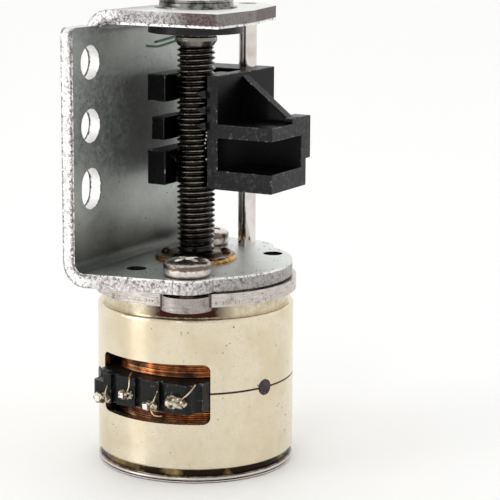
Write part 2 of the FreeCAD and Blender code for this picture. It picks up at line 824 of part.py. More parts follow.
def make_rear_end():
    """End plate with a bearing pocket, rear bearing, thrust ball and preload spring."""
    plate = cylinder("end_plate_disc", "case_radius", "end_plate_thickness", z=0)
    pocket = cylinder("end_plate_pocket", "pocket_radius", 3, z="pocket_floor")
    subpart("end_plate", cut("end_plate_cut", plate, pocket))
    bearing = cylinder(
        "rear_bearing_body", "rear_bearing_radius", "rear_bearing_top - end_plate_thickness",
        z="end_plate_thickness",
    )
    bore = cylinder("rear_bearing_bore", "journal_radius + running_gap", 4, z=0)
    subpart("rear_bearing", cut("rear_bearing_cut", bearing, bore))
    spring = cylinder("spring_disc", "spring_radius", "spring_thickness", z="pocket_floor")
    subpart("preload_spring", spring)
    ball = doc.addObject("Part::Sphere", "thrust_ball_solid")
    bind(ball, "Radius", "ball_radius")
    place(ball, 0, 0, "pocket_floor + spring_thickness + ball_radius")
    subpart("thrust_ball", ball)


def make_rotor():
    """Lead screw with its journals, the hub pressed on the shank and the ring magnet."""
    # The thread, of 0.4 mm pitch, is a plain cylinder at its crest radius.
    tail = cylinder(
        "screw_rear_journal", "journal_radius", "shoulder_start - journal_start", z="journal_start"
    )
    thread = cylinder("screw_thread", "thread_radius", "thread_end - shoulder_start", z="shoulder_start")
    slope = cone("screw_slope", "thread_radius", "collar_radius", "collar_slope", z="thread_end")
    collar = cylinder(
        "screw_collar", "collar_radius", "collar_end - thread_end - collar_slope",
        z="thread_end + collar_slope",
    )
    top = cylinder(
        "screw_top_journal", "top_journal_radius", "top_journal_end - collar_end", z="collar_end"
    )
    subpart("lead_screw", fuse("lead_screw_solid", tail, thread, slope, collar, top))

    sleeve = cylinder("hub_sleeve", "magnet_bore", "magnet_top - magnet_bottom", z="magnet_bottom")
    rim = cylinder(
        "hub_rim", "hub_collar_radius", "hub_collar_height", z="magnet_bottom - hub_collar_height"
    )
    nose = cylinder("hub_nose", "hub_nose_radius", "hub_nose_height", z="magnet_top")
    hub_bore = cylinder("hub_bore", "journal_radius", THROUGH)
    subpart("rotor_hub", cut("hub_cut", fuse("hub_solid", sleeve, rim, nose), hub_bore))

    magnet = cylinder("magnet_body", "magnet_radius", "magnet_top - magnet_bottom", z="magnet_bottom")
    magnet_hole = cylinder("magnet_hole", "magnet_bore", THROUGH)
    subpart("rotor_magnet", cut("magnet_cut", magnet, magnet_hole))

    washer = cylinder("washer_body", "hub_nose_radius", "washer_thickness", z="washer_level")
    washer_bore = cylinder("washer_bore", "journal_radius + 0.05", 2, z="magnet_top")
    subpart("thrust_washer", cut("washer_cut", washer, washer_bore))


def make_front_bearing():
    """Bronze collar on the bottom flange with a barrel through to the rotor."""
    top = "flange_level + sheet"
    rim = cylinder("bearing_rim", "bearing_flange_radius", "bearing_rim_height", z=top)
    slope = cone(
        "bearing_slope", "bearing_flange_radius", "bearing_slope_radius",
        "bearing_slope_height", z=top + " + bearing_rim_height",
    )
    neck = cylinder("bearing_neck", "bearing_barrel_radius", "bearing_flange_height", z=top)
    barrel = cylinder(
        "bearing_barrel", "bearing_barrel_radius", top + " - bearing_bottom", z="bearing_bottom"
    )
    bore = cylinder("bearing_bore", "journal_radius + running_gap", 8, z="bearing_bottom - 1")
    return subpart(
        "front_bearing", cut("front_bearing_cut", fuse("bearing_solid", rim, slope, neck, barrel), bore)
    )


def make_top_support():
    """Black bush under the top flange and the metal cap that closes it from above."""
    bottom = "top_flange_level - bush_flange_height"
    flange = cylinder("bush_flange", "bush_flange_radius", "bush_flange_height", z=bottom)
    barrel = cylinder("bush_barrel", "bush_barrel_radius", "sheet", z="top_flange_level")
    bore = cylinder("bush_bore", "top_journal_radius + running_gap", THROUGH, z="thread_end")
    subpart("top_bush", cut("top_bush_cut", fuse("bush_solid", flange, barrel), bore))

    level = "top_flange_level + sheet"
    base = cylinder("cap_base", "cap_base_radius", "cap_base_height", z=level)
    crown = cylinder("cap_crown", "cap_radius", "cap_height", z=level)
    cap = fuse("cap_solid", base, crown)
    top_level = DIMENSIONS["top_flange_level"] + DIMENSIONS["sheet"] + DIMENSIONS["cap_height"]
    subpart("top_cap", fillet("cap_rounded", cap, DIMENSIONS["cap_round"], at_level(top_level)))


def make_guide_rod():
    """Smooth rod beside the screw, pressed into both flanges."""
    length = "rod_end - flange_level"
    rod = cylinder("guide_rod_solid", "rod_radius", length, "rod_x", "rod_y", "flange_level")
    return subpart("guide_rod", rod)


def make_slider():
    """Moulded slider: sleeve on the rod, half nut against the screw, fingers behind it, side arm."""
    full = ("slider_bottom", "slider_top")
    behind = ("finger_front_y", "finger_back_y")
    wall = box(
        "slider_wall", ("slider_left_x", "slider_right_x"), ("wall_front_y", "wall_back_y"), full
    )
    nut = box("slider_nut", ("nut_left_x", "nut_right_x"), ("wall_back_y", "nut_back_y"), full)
    sleeve = box(
        "slider_sleeve", ("sleeve_left_x", "slider_right_x"), ("wall_front_y", "finger_back_y"), full
    )
    spine = box("slider_spine", ("spine_left_x", "sleeve_left_x"), behind, full)
    fingers = []
    for name, tip, front, low, high in (
        ("top", "finger_long_x", "finger_front_y", "finger_top_low", "slider_top"),
        ("middle", "finger_short_x", "finger_middle_front_y", "finger_middle_low", "finger_middle_high"),
        ("bottom", "finger_long_x", "finger_front_y", "finger_bottom_low", "finger_bottom_high"),
    ):
        fingers.append(box(
            "finger_" + name, (tip, "sleeve_left_x"), (front, "finger_back_y"), (low, high)
        ))
    lower_shelf = box(
        "lower_shelf", ("slider_left_x", "arm_right_x"), ("arm_front_y", "wall_front_y"),
        ("slider_bottom", "lower_shelf_top"),
    )
    upper_shelf = box(
        "upper_shelf", ("slider_left_x", "arm_right_x"), ("arm_front_y", "wall_front_y"),
        ("upper_shelf_bottom", "upper_shelf_top"),
    )
    end_wall = box(
        "arm_end_wall", ("arm_right_x - arm_wall", "arm_right_x"), ("arm_front_y", "wall_front_y"),
        ("slider_bottom", "upper_shelf_top"),
    )
    tab = box(
        "arm_tab", ("arm_right_x - arm_wall", "tab_right_x"), ("arm_front_y", "arm_front_y + tab_depth"),
        ("tab_bottom", "tab_top"),
    )
    lip = box(
        "arm_lip", ("lip_left_x", "tab_right_x"), ("arm_front_y", "arm_front_y + lip_depth"),
        ("upper_shelf_bottom", "tab_top"),
    )
    # The gusset is a leaning bar trimmed to the corner between the wall and the upper shelf.
    margin = DIMENSIONS["gusset_margin"]
    run = DIMENSIONS["wall_front_y"] - DIMENSIONS["arm_front_y"] - margin
    rise = DIMENSIONS["slider_top"] - DIMENSIONS["upper_shelf_top"] - margin
    lean = math.degrees(math.atan2(rise, run))
    gusset_room = box(
        "gusset_room", ("gusset_x", "gusset_x + gusset_thickness"), ("arm_front_y", "wall_front_y"),
        ("upper_shelf_top", "slider_top - 0.1"),
    )
    above = doc.addObject("Part::Box", "gusset_above")
    above.Length, above.Width, above.Height = 4, 12, 8
    above.Placement = FreeCAD.Placement(
        FreeCAD.Vector(
            DIMENSIONS["gusset_x"] - 1, DIMENSIONS["arm_front_y"] + margin, DIMENSIONS["upper_shelf_top"]
        ),
        FreeCAD.Rotation(FreeCAD.Vector(1, 0, 0), lean),
    )
    gusset = cut("gusset", gusset_room, above)
    boss = cross_cylinder(
        "finger_boss", "boss_radius", "boss_height * 2", "Y",
        "boss_x", "finger_front_y - boss_height", "boss_level",
    )
    solid = fuse(
        "slider_solid", wall, nut, sleeve, spine, *fingers, lower_shelf, upper_shelf, end_wall, tab, lip,
        gusset, boss,
    )
    screw_clearance = cylinder("nut_bore", "thread_radius + nut_gap", 12, z="slider_bottom - 1")
    rod_bore = cylinder("rod_bore", "rod_radius + running_gap", 12, "rod_x", "rod_y", "slider_bottom - 1")
    return subpart("slider", cut("slider_cut", solid, screw_clearance, rod_bore))


make_bracket()
make_motor_flange_plate()
make_flange_screws()
make_case_lower()
make_case_upper()
make_pole_plates()
make_coil_set("lower", "case_foot + case_wall", "seam_level - pole_plate_thickness")
make_coil_set("upper", "seam_level + pole_plate_thickness", "case_ceiling")
make_terminal_block()
make_seam_welds()
make_rear_end()
make_rotor()
make_front_bearing()
make_top_support()
make_guide_rod()
make_slider()
doc.recompute()

for feature in doc.Objects:
    if "Invalid" in feature.State or "Error" in feature.State:
        raise RuntimeError("%s did not rebuild: %s" % (feature.Name, feature.State))

os.makedirs("parts", exist_ok=True)
for label, feature in SUBPARTS:
    if feature.Shape.isNull() or not feature.Shape.isValid():
        raise RuntimeError("%s has no valid shape" % label)
    feature.Shape.exportStep("parts/%s.step" % label)
    bounds = feature.Shape.BoundBox
    print("%-20s solids %d volume %8.3f x %.2f..%.2f y %.2f..%.2f z %.2f..%.2f" % (
        label, len(feature.Shape.Solids), feature.Shape.Volume,
        bounds.XMin, bounds.XMax, bounds.YMin, bounds.YMax, bounds.ZMin, bounds.ZMax,
    ))
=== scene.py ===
import math
import random
import bmesh
import bpy
from mathutils import Matrix, Vector, noise


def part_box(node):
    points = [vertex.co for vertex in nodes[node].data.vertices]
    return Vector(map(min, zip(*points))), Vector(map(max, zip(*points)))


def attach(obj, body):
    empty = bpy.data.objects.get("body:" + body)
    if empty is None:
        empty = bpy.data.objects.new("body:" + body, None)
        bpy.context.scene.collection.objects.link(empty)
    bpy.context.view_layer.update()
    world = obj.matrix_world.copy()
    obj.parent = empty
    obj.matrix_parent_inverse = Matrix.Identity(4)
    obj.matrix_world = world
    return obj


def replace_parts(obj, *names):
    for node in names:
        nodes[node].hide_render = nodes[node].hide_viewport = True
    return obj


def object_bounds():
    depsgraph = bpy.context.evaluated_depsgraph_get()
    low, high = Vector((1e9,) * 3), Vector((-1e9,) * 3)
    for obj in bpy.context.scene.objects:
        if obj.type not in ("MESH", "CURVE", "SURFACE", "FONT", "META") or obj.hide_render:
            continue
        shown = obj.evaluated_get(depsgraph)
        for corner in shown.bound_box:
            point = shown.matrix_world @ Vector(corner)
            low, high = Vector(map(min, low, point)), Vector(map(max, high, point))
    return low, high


MM = 0.001
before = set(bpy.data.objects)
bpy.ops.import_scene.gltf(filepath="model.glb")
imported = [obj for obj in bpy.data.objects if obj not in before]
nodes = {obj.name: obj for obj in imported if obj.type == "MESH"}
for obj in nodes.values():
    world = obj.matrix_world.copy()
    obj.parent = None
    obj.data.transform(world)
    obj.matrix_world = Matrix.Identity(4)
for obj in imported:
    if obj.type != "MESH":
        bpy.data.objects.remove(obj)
cad_low, cad_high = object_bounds()


# ---------------------------------------------------------------- sizes and levels, in mm

def span(node, axis):
    """Lowest and highest coordinate of a CAD node along an axis, in mm."""
    low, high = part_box(node)
    return low[axis] / MM, high[axis] / MM


X, Y, Z = 0, 1, 2

# Sizes that no node's box shows.
SHEET = 1.05
BEND = 0.8
PLATE_INNER_Y = 4.77
CASE_SHOULDER = 12.42
THREAD_PITCH = 0.4
THREAD_DEPTH = 0.25
HEAD_RADIUS = 1.76
RIM_SHARE = 0.66
LOBE_RADIUS = 2.06
PIN_HALF = 0.2
SPARE_HOLES = ((4.47, -4.29), (-5.67, 1.76))
NUT_WALL_LEFT, NUT_WALL_BACK = -0.95, -1.5

# Levels and places read from the frame.
PLATE_LEFT, PLATE_RIGHT = span("bracket", X)
BRACKET_BOTTOM, BRACKET_TOP = span("bracket", Z)
FLANGE_TOP = BRACKET_BOTTOM + SHEET
TOP_FLANGE_BOTTOM = BRACKET_TOP - SHEET
CASE_RADIUS = span("end_plate", X)[1]
FOOT_LEVEL, SEAM_LEVEL = span("case_lower", Z)
BEARING_TOP = span("front_bearing", Z)[1]
BUSH_BOTTOM = span("top_bush", Z)[0]
COLLAR_RADIUS = span("lead_screw", X)[1]
COLLAR_TOP = BUSH_BOTTOM - 0.25
THREAD_RADIUS = COLLAR_RADIUS - 0.14
SHOULDER_START = BEARING_TOP + 0.1
THREAD_START, THREAD_END = SHOULDER_START + 0.25, BUSH_BOTTOM - 1.0
HEAD_TOP = span("flange_screws", Z)[1]
FRONT_SCREW = (span("flange_screws", X)[0] + HEAD_RADIUS, span("flange_screws", Y)[0] + HEAD_RADIUS)
REAR_SCREW = (span("flange_screws", X)[1] - HEAD_RADIUS, span("flange_screws", Y)[1] - HEAD_RADIUS)
PIN_LEVELS = (span("terminal_pins", Z)[1] - PIN_HALF, span("terminal_pins", Z)[0] + PIN_HALF)
PIN_FIRST, PIN_LAST = span("terminal_pins", Y)[0] + PIN_HALF, span("terminal_pins", Y)[1] - PIN_HALF
BLOCK_FACE_X = span("terminal_block", X)[0]


# ---------------------------------------------------------------- shader helpers

SHADER = "Principled BSDF"


def principled(name, **settings):
    """A material and its node tree, with the constant settings on the shader's own sockets."""
    material = bpy.data.materials.new(name)
    material.use_nodes = True
    tree = material.node_tree
    for socket, value in settings.items():
        tree.nodes[SHADER].inputs[socket.replace("_", " ")].default_value = value
    return material, tree


def shader_node(tree, kind, vector=None, **settings):
    """A shader node with its sockets set, and a vector led into it."""
    node = tree.nodes.new("ShaderNode" + kind)
    for socket, value in settings.items():
        node.inputs[socket.replace("_", " ")].default_value = value
    if vector is not None:
        tree.links.new(vector, node.inputs["Vector"])
    return node


def millimetres(tree, stretch=(1, 1, 1)):
    """Object coordinates in mm, stretched for grain that runs one way."""
    place = shader_node(tree, "TexCoord").outputs["Object"]
    return shader_node(tree, "Mapping", place, Scale=[s / MM for s in stretch]).outputs["Vector"]


def grain(tree, vector, scale, detail=4, roughness=0.55, distortion=0.0):
    """Noise with its features about 1/scale mm apart."""
    settings = {"Scale": scale, "Detail": detail, "Roughness": roughness, "Distortion": distortion}
    return shader_node(tree, "TexNoise", vector, **settings).outputs["Fac"]


def cells(tree, vector, scale):
    """Distance from scattered points, for pits and specks."""
    return shader_node(tree, "TexVoronoi", vector, Scale=scale).outputs["Distance"]


def remap(tree, value, low, high, to_low=0.0, to_high=1.0):
    """Maps low..high to to_low..to_high and clamps there; low may be the larger one."""
    node = shader_node(tree, "MapRange", From_Min=low, From_Max=high, To_Min=to_low, To_Max=to_high)
    tree.links.new(value, node.inputs["Value"])
    return node.outputs["Result"]


def calc(tree, operation, first, second=0.0):
    """One step of arithmetic on numbers or sockets."""
    node = shader_node(tree, "Math")
    node.operation = operation
    for socket, value in zip(node.inputs, (first, second)):
        if isinstance(value, (int, float)):
            socket.default_value = value
        else:
            tree.links.new(value, socket)
    return node.outputs["Value"]


def blend(tree, factor, first, second):
    """Mixes two colours, each an (r, g, b) or a socket."""
    node = shader_node(tree, "Mix")
    node.data_type = "RGBA"
    tree.links.new(factor, node.inputs["Factor"])
    for name, value in (("A", first), ("B", second)):
        socket = next(s for s in node.inputs if s.name == name and s.type == "RGBA")
        if isinstance(value, tuple):
            socket.default_value = (*value, 1)
        else:
            tree.links.new(value, socket)
    return next(s for s in node.outputs if s.type == "RGBA")


def finished(material, colour, roughness, *layers):
    """Leads colour, roughness and chained bumps, each (height, depth in mm), into the shader."""
    tree = material.node_tree
    inputs = tree.nodes[SHADER].inputs
    normal = None
    for height, depth in layers:
        node = shader_node(tree, "Bump", Distance=depth * MM)
        tree.links.new(height, node.inputs["Height"])
        if normal is not None:
            tree.links.new(normal, node.inputs["Normal"])
        normal = node.outputs["Normal"]
    for socket, value in (("Base Color", colour), ("Roughness", roughness), ("Normal", normal)):
        tree.links.new(value, inputs[socket])
    return material


def coordinate(tree, vector, axis):
    """One coordinate of a vector socket."""
    return shader_node(tree, "SeparateXYZ", vector).outputs[axis]


def product(tree, *values):
    """Multiplies numbers or sockets together."""
    result = values[0]
    for value in values[1:]:
        result = calc(tree, "MULTIPLY", result, value)
    return result


def away_from(tree, mm, x=0.0, y=0.0):
    """Distance from an upright axis, in mm."""
    across = calc(tree, "SUBTRACT", coordinate(tree, mm, X), x)
    along = calc(tree, "SUBTRACT", coordinate(tree, mm, Y), y)
    total = calc(tree, "ADD", product(tree, across, across), product(tree, along, along))
    return calc(tree, "SQRT", total)


def off_level(tree, mm, level):
    """Distance above or below a level, in mm."""
    return calc(tree, "ABSOLUTE", calc(tree, "SUBTRACT", coordinate(tree, mm, Z), level))


# ---------------------------------------------------------------- materials

def galvanised_face():
    """Grey-green zinc skin: clouding, rolling grain and dark pits, with painted light: the flanges painted
    paler than the plate, and a painted dark reflection on the plate towards its lower bend.
    """
    material, tree = principled("galvanised_face", Metallic=1.0)
    mm = millimetres(tree)
    y, z = coordinate(tree, mm, Y), coordinate(tree, mm, Z)
    clouds = grain(tree, mm, 0.28, detail=3)
    frost = grain(tree, mm, 3.0, detail=6, roughness=0.7)
    pits = remap(tree, cells(tree, mm, 1.9), 0.13, 0.08)
    sparse = remap(tree, grain(tree, mm, 0.8), 0.47, 0.54)
    on_plate = remap(tree, y, PLATE_INNER_Y - 1.0, PLATE_INNER_Y - 0.3)
    off_plate = remap(tree, y, 3.6, 1.0)
    # Pits crowd together towards the rim of the flange.
    rim = product(tree, remap(tree, away_from(tree, mm), 4.2, 6.6), off_plate)
    dots = remap(tree, cells(tree, mm, 1.7), 0.20, 0.12)
    crowded = product(tree, dots, remap(tree, grain(tree, mm, 1.3), 0.38, 0.48), rim)
    dirt = calc(tree, "MAXIMUM", product(tree, pits, sparse), crowded)
    # Painted dark reflection: the plate darkens towards its lower bend.
    low = remap(tree, calc(tree, "ADD", z, clouds), FLANGE_TOP + 5.0, FLANGE_TOP + 1.4, 0.0, 0.8)
    # Painted light: the flanges are painted far paler than the plate of the same sheet.
    flange = product(tree, off_plate, remap(tree, frost, 0.3, 0.7, 0.6, 1.0))
    skin = blend(tree, remap(tree, clouds, 0.38, 0.62), (0.31, 0.335, 0.325), (0.44, 0.465, 0.44))
    skin = blend(tree, remap(tree, frost, 0.35, 0.75), skin, (0.52, 0.54, 0.51))
    skin = blend(tree, flange, skin, (0.86, 0.88, 0.86))
    skin = blend(tree, product(tree, on_plate, low), skin, (0.07, 0.075, 0.07))
    colour = blend(tree, dirt, skin, (0.03, 0.025, 0.03))
    roughness = remap(tree, frost, 0.3, 0.7, 0.36, 0.54)
    return finished(material, colour, roughness, (frost, 0.010), (dirt, -0.03))


def sheared_edge():
    """Torn steel along the cut edges of the sheet: a burnished outer band, burrs and dark chips."""
    material, tree = principled("sheared_edge", Metallic=1.0)
    mm = millimetres(tree)
    y, z = coordinate(tree, mm, Y), coordinate(tree, mm, Z)
    torn = grain(tree, mm, 5.0, detail=8, roughness=0.75)
    chips = remap(tree, grain(tree, mm, 3.6, detail=7, roughness=0.8), 0.53, 0.585)
    # Depth through the bent sheet, from 0 at its inner face to SHEET at its outer one.
    past_y = calc(tree, "MAXIMUM", calc(tree, "SUBTRACT", y, PLATE_INNER_Y - BEND), 0.0)
    below = calc(tree, "SUBTRACT", FLANGE_TOP + BEND, z)
    above = calc(tree, "SUBTRACT", z, TOP_FLANGE_BOTTOM - BEND)
    past_z = calc(tree, "MAXIMUM", calc(tree, "MAXIMUM", below, above), 0.0)
    squares = calc(tree, "ADD", product(tree, past_y, past_y), product(tree, past_z, past_z))
    reach = calc(tree, "SQRT", squares)
    clean = calc(tree, "SUBTRACT", reach, BEND)
    depth = calc(tree, "ADD", clean, product(tree, calc(tree, "SUBTRACT", torn, 0.5), 0.3))
    plate_end = remap(tree, y, PLATE_INNER_Y - 2.2, PLATE_INNER_Y - 0.8)
    burnished = product(tree, remap(tree, depth, 0.30, 0.50), plate_end)
    burr = product(tree, remap(tree, depth, 0.30, 0.20), remap(tree, depth, 0.02, 0.10), plate_end)
    outline = product(tree, remap(tree, depth, SHEET - 0.17, SHEET - 0.06), plate_end)
    lip = product(tree, remap(tree, depth, 0.20, 0.12), remap(tree, plate_end, 0.6, 0.0))
    front_grime = remap(tree, y, -4.2, -5.6)
    top_flange = remap(tree, z, TOP_FLANGE_BOTTOM - 3.6, TOP_FLANGE_BOTTOM - 1.6)
    brown = product(tree, top_flange, remap(tree, y, -0.8, -3.0), remap(tree, y, -5.6, -5.2, 0.0, 0.9))
    metal = blend(tree, remap(tree, torn, 0.38, 0.62), (0.38, 0.35, 0.35), (0.90, 0.87, 0.86))
    metal = blend(tree, product(tree, top_flange, 0.60), metal, (0.28, 0.27, 0.27))
    metal = blend(tree, product(tree, front_grime, 0.6), metal, (0.24, 0.23, 0.22))
    metal = blend(tree, brown, metal, (0.085, 0.055, 0.055))
    metal = blend(tree, burnished, metal, (0.88, 0.88, 0.87))
    metal = blend(tree, lip, metal, (0.90, 0.90, 0.89))
    outline = product(tree, outline, remap(tree, torn, 0.40, 0.55, 0.3, 0.9))
    metal = blend(tree, outline, metal, (0.16, 0.15, 0.15))
    burr = product(tree, burr, remap(tree, torn, 0.35, 0.60, 0.9, 0.4))
    metal = blend(tree, burr, metal, (0.07, 0.06, 0.06))
    # Chips are densest where the sheet tore, in the third next to its inner face.
    torn_zone = remap(tree, depth, 0.35, 0.65, 1.0, 0.45)
    chipped = product(tree, chips, torn_zone, remap(tree, burnished, 1.0, 0.0, 0.3, 0.85))
    colour = blend(tree, chipped, metal, (0.11, 0.08, 0.085))
    roughness = remap(tree, torn, 0.3, 0.7, 0.28, 0.52)
    return finished(material, colour, roughness, (torn, 0.05), (chips, -0.03))


def rimmed_bore_and_shade():
    """Walls of the holes: painted shade, near black, in the flange; bright with dark rims in the plate."""
    material, tree = principled("rimmed_bore_and_shade", Metallic=1.0)
    mm = millimetres(tree)
    y = coordinate(tree, mm, Y)
    dirt = grain(tree, mm, 4.0, detail=6, roughness=0.7)
    plate = remap(tree, coordinate(tree, mm, Z), FLANGE_TOP, FLANGE_TOP + 1.0)
    # Painted shade: oil here is the near-black shade painted on the walls of the flange holes.
    oil = blend(tree, remap(tree, dirt, 0.4, 0.75), (0.010, 0.009, 0.009), (0.06, 0.055, 0.05))
    depth = calc(tree, "ADD", calc(tree, "SUBTRACT", y, PLATE_INNER_Y), product(tree, dirt, 0.35))
    rims = calc(tree, "MAXIMUM", remap(tree, depth, 1.02, 1.14), remap(tree, depth, 0.30, 0.22))
    sheared = blend(tree, rims, (0.86, 0.85, 0.84), (0.06, 0.055, 0.05))
    colour = blend(tree, plate, oil, sheared)
    roughness = remap(tree, dirt, 0.3, 0.7, 0.40, 0.70)
    return finished(material, colour, roughness, (dirt, 0.03))


def satin_plate():
    """Light plated steel of the motor plate, with rolling lines, specks, a hatched burr and painted shade
    where the front lobe meets the disc.
    """
    material, tree = principled("satin_plate", Metallic=1.0)
    mm = millimetres(tree)
    lines = grain(tree, millimetres(tree, (1, 1, 8)), 1.2, detail=5)
    patch = grain(tree, mm, 0.9, detail=5, roughness=0.65)
    hatch = remap(tree, grain(tree, millimetres(tree, (1, 1, 0.12)), 9.0, detail=3), 0.52, 0.58)
    specks = remap(tree, cells(tree, mm, 2.4), 0.15, 0.09)
    sparse = remap(tree, grain(tree, mm, 1.1), 0.48, 0.54)
    burr_band = remap(tree, off_level(tree, mm, BRACKET_BOTTOM - 0.78), 0.16, 0.08)
    burr = product(tree, burr_band, hatch, remap(tree, grain(tree, mm, 0.4), 0.42, 0.52, 0.0, 0.5))
    # Painted shade: black lines where the front lobe runs into the disc.
    past_lobe = calc(tree, "SUBTRACT", away_from(tree, mm, *FRONT_SCREW), LOBE_RADIUS)
    from_corner = calc(tree, "ABSOLUTE", past_lobe)
    painted_crease_shade = remap(tree, from_corner, 0.10, 0.05)
    # dirt here also carries the painted crease shade.
    dirt = calc(tree, "MAXIMUM", calc(tree, "MAXIMUM", product(tree, specks, sparse), burr), painted_crease_shade)
    metal = blend(tree, remap(tree, lines, 0.35, 0.65), (0.46, 0.425, 0.39), (0.64, 0.60, 0.56))
    metal = blend(tree, remap(tree, patch, 0.54, 0.64), metal, (0.30, 0.26, 0.24))
    colour = blend(tree, dirt, metal, (0.10, 0.07, 0.065))
    roughness = remap(tree, lines, 0.3, 0.7, 0.20, 0.36)
    return finished(material, colour, roughness, (lines, 0.01), (dirt, -0.02))


def rim_steel():
    """Darkened steel of the end plate, with painted highlights where its rolled rings stand proud."""
    material, tree = principled("rim_steel", Metallic=1.0)
    mm = millimetres(tree)
    stain = grain(tree, mm, 1.3, detail=6, roughness=0.7)
    # Painted highlight: the crowns of the rolled rings are painted bright.
    proud = remap(tree, away_from(tree, mm), CASE_RADIUS - 0.09, CASE_RADIUS - 0.02)
    metal = blend(tree, remap(tree, stain, 0.4, 0.65), (0.06, 0.048, 0.04), (0.30, 0.26, 0.23))
    colour = blend(tree, proud, metal, (0.62, 0.57, 0.52))
    roughness = remap(tree, stain, 0.3, 0.7, 0.18, 0.38)
    return finished(material, colour, roughness, (stain, 0.012))


def warm_nickel():
    """Champagne nickel plate on the drawn cups, mottled and pitted, with painted shade in its recesses: round
    the neck under the motor plate and above the end plate.
    """
    material, tree = principled("warm_nickel", Metallic=1.0, Anisotropic=0.75, Anisotropic_Rotation=0.25)
    tangent = shader_node(tree, "Tangent")
    tangent.direction_type = "RADIAL"
    tangent.axis = "Z"
    tree.links.new(tangent.outputs["Tangent"], tree.nodes[SHADER].inputs["Tangent"])
    mm = millimetres(tree)
    z = coordinate(tree, mm, Z)
    clouds = grain(tree, mm, 0.30, detail=4, distortion=0.4)
    rings = grain(tree, millimetres(tree, (0.1, 0.1, 1)), 5.0, detail=5, roughness=0.6)
    mottle = grain(tree, mm, 2.2, detail=8, roughness=0.8)
    ragged = calc(tree, "ADD", z, product(tree, mottle, 0.25))
    # Small dark specks everywhere and fewer, larger pits in loose groups.
    fine = product(
        tree, remap(tree, cells(tree, mm, 2.2), 0.15, 0.08), remap(tree, grain(tree, mm, 0.9), 0.50, 0.58)
    )
    large = product(
        tree, remap(tree, cells(tree, mm, 1.3), 0.11, 0.06), remap(tree, grain(tree, mm, 0.45), 0.50, 0.57)
    )
    specks = calc(tree, "MAXIMUM", product(tree, fine, 0.8), large)
    plate = blend(tree, remap(tree, clouds, 0.40, 0.60), (0.69, 0.60, 0.43), (0.77, 0.69, 0.54))
    plate = blend(tree, remap(tree, clouds, 0.56, 0.68, 0.0, 0.35), plate, (0.74, 0.64, 0.42))
    plate = blend(tree, remap(tree, mottle, 0.50, 0.74, 0.0, 0.45), plate, (0.54, 0.45, 0.31))
    # Painted shade round the neck under the motor plate, mottled, and near black under the front screw's
    # lobe.
    neck = remap(tree, ragged, CASE_SHOULDER + 0.10, CASE_SHOULDER + 0.22)
    lobe_shade_reach = calc(tree, "ADD", away_from(tree, mm, *FRONT_SCREW), product(tree, mottle, 1.6))
    painted_neck_shade = product(tree, neck, remap(tree, mottle, 0.40, 0.60, 0.1, 0.7))
    plate = blend(tree, painted_neck_shade, plate, (0.40, 0.33, 0.22))
    plate = blend(tree, product(tree, neck, remap(tree, lobe_shade_reach, 4.4, 2.8)), plate, (0.045, 0.014, 0.011))
    # Painted shade: the recess above the end plate is almost black, with brassy patches where the clouds lift
    # it.
    foot = remap(tree, ragged, FOOT_LEVEL + 0.74, FOOT_LEVEL + 0.56)
    recess = blend(tree, remap(tree, clouds, 0.52, 0.66), (0.020, 0.013, 0.008), (0.34, 0.23, 0.09))
    plate = blend(tree, foot, plate, recess)
    seam = remap(tree, off_level(tree, mm, SEAM_LEVEL), 0.095, 0.060)
    dirt = calc(tree, "MAXIMUM", specks, seam)
    colour = blend(tree, dirt, plate, (0.12, 0.075, 0.045))
    roughness = remap(tree, clouds, 0.3, 0.7, 0.20, 0.30)
    return finished(material, colour, roughness, (rings, 0.0015), (mottle, 0.0025), (specks, -0.02))


def bright_steel():
    """Bright plating with fine scratches and patches of grime."""
    material, tree = principled("bright_steel", Metallic=1.0)
    mm = millimetres(tree)
    scratches = grain(tree, mm, 7.0, detail=6)
    grime = remap(tree, grain(tree, mm, 1.6, detail=5), 0.56, 0.68)
    colour = blend(tree, grime, (0.82, 0.78, 0.72), (0.22, 0.16, 0.13))
    roughness = remap(tree, scratches, 0.3, 0.7, 0.10, 0.26)
    return finished(material, colour, roughness, (scratches, 0.006))


def screw_plating():
    """Nickelled screw heads with a brown band under the dome and brown grime at the foot."""
    material, tree = principled("screw_plating", Metallic=1.0)
    mm = millimetres(tree)
    ragged = grain(tree, mm, 3.0, detail=6, roughness=0.7)
    uneven = product(tree, calc(tree, "SUBTRACT", ragged, 0.5), 0.5)
    level = calc(tree, "ADD", coordinate(tree, mm, Z), uneven)
    above = remap(tree, level, HEAD_TOP - 0.76, HEAD_TOP - 0.64)
    band = product(tree, above, remap(tree, level, HEAD_TOP - 0.26, HEAD_TOP - 0.40))
    base = remap(tree, level, FLANGE_TOP + 0.28, FLANGE_TOP + 0.12)
    grime = calc(tree, "MAXIMUM", band, base)
    metal = blend(tree, remap(tree, ragged, 0.35, 0.65), (0.80, 0.76, 0.70), (0.50, 0.44, 0.39))
    colour = blend(tree, product(tree, grime, 0.9), metal, (0.11, 0.07, 0.05))
    roughness = remap(tree, ragged, 0.3, 0.7, 0.10, 0.28)
    return finished(material, colour, roughness, (ragged, 0.03))


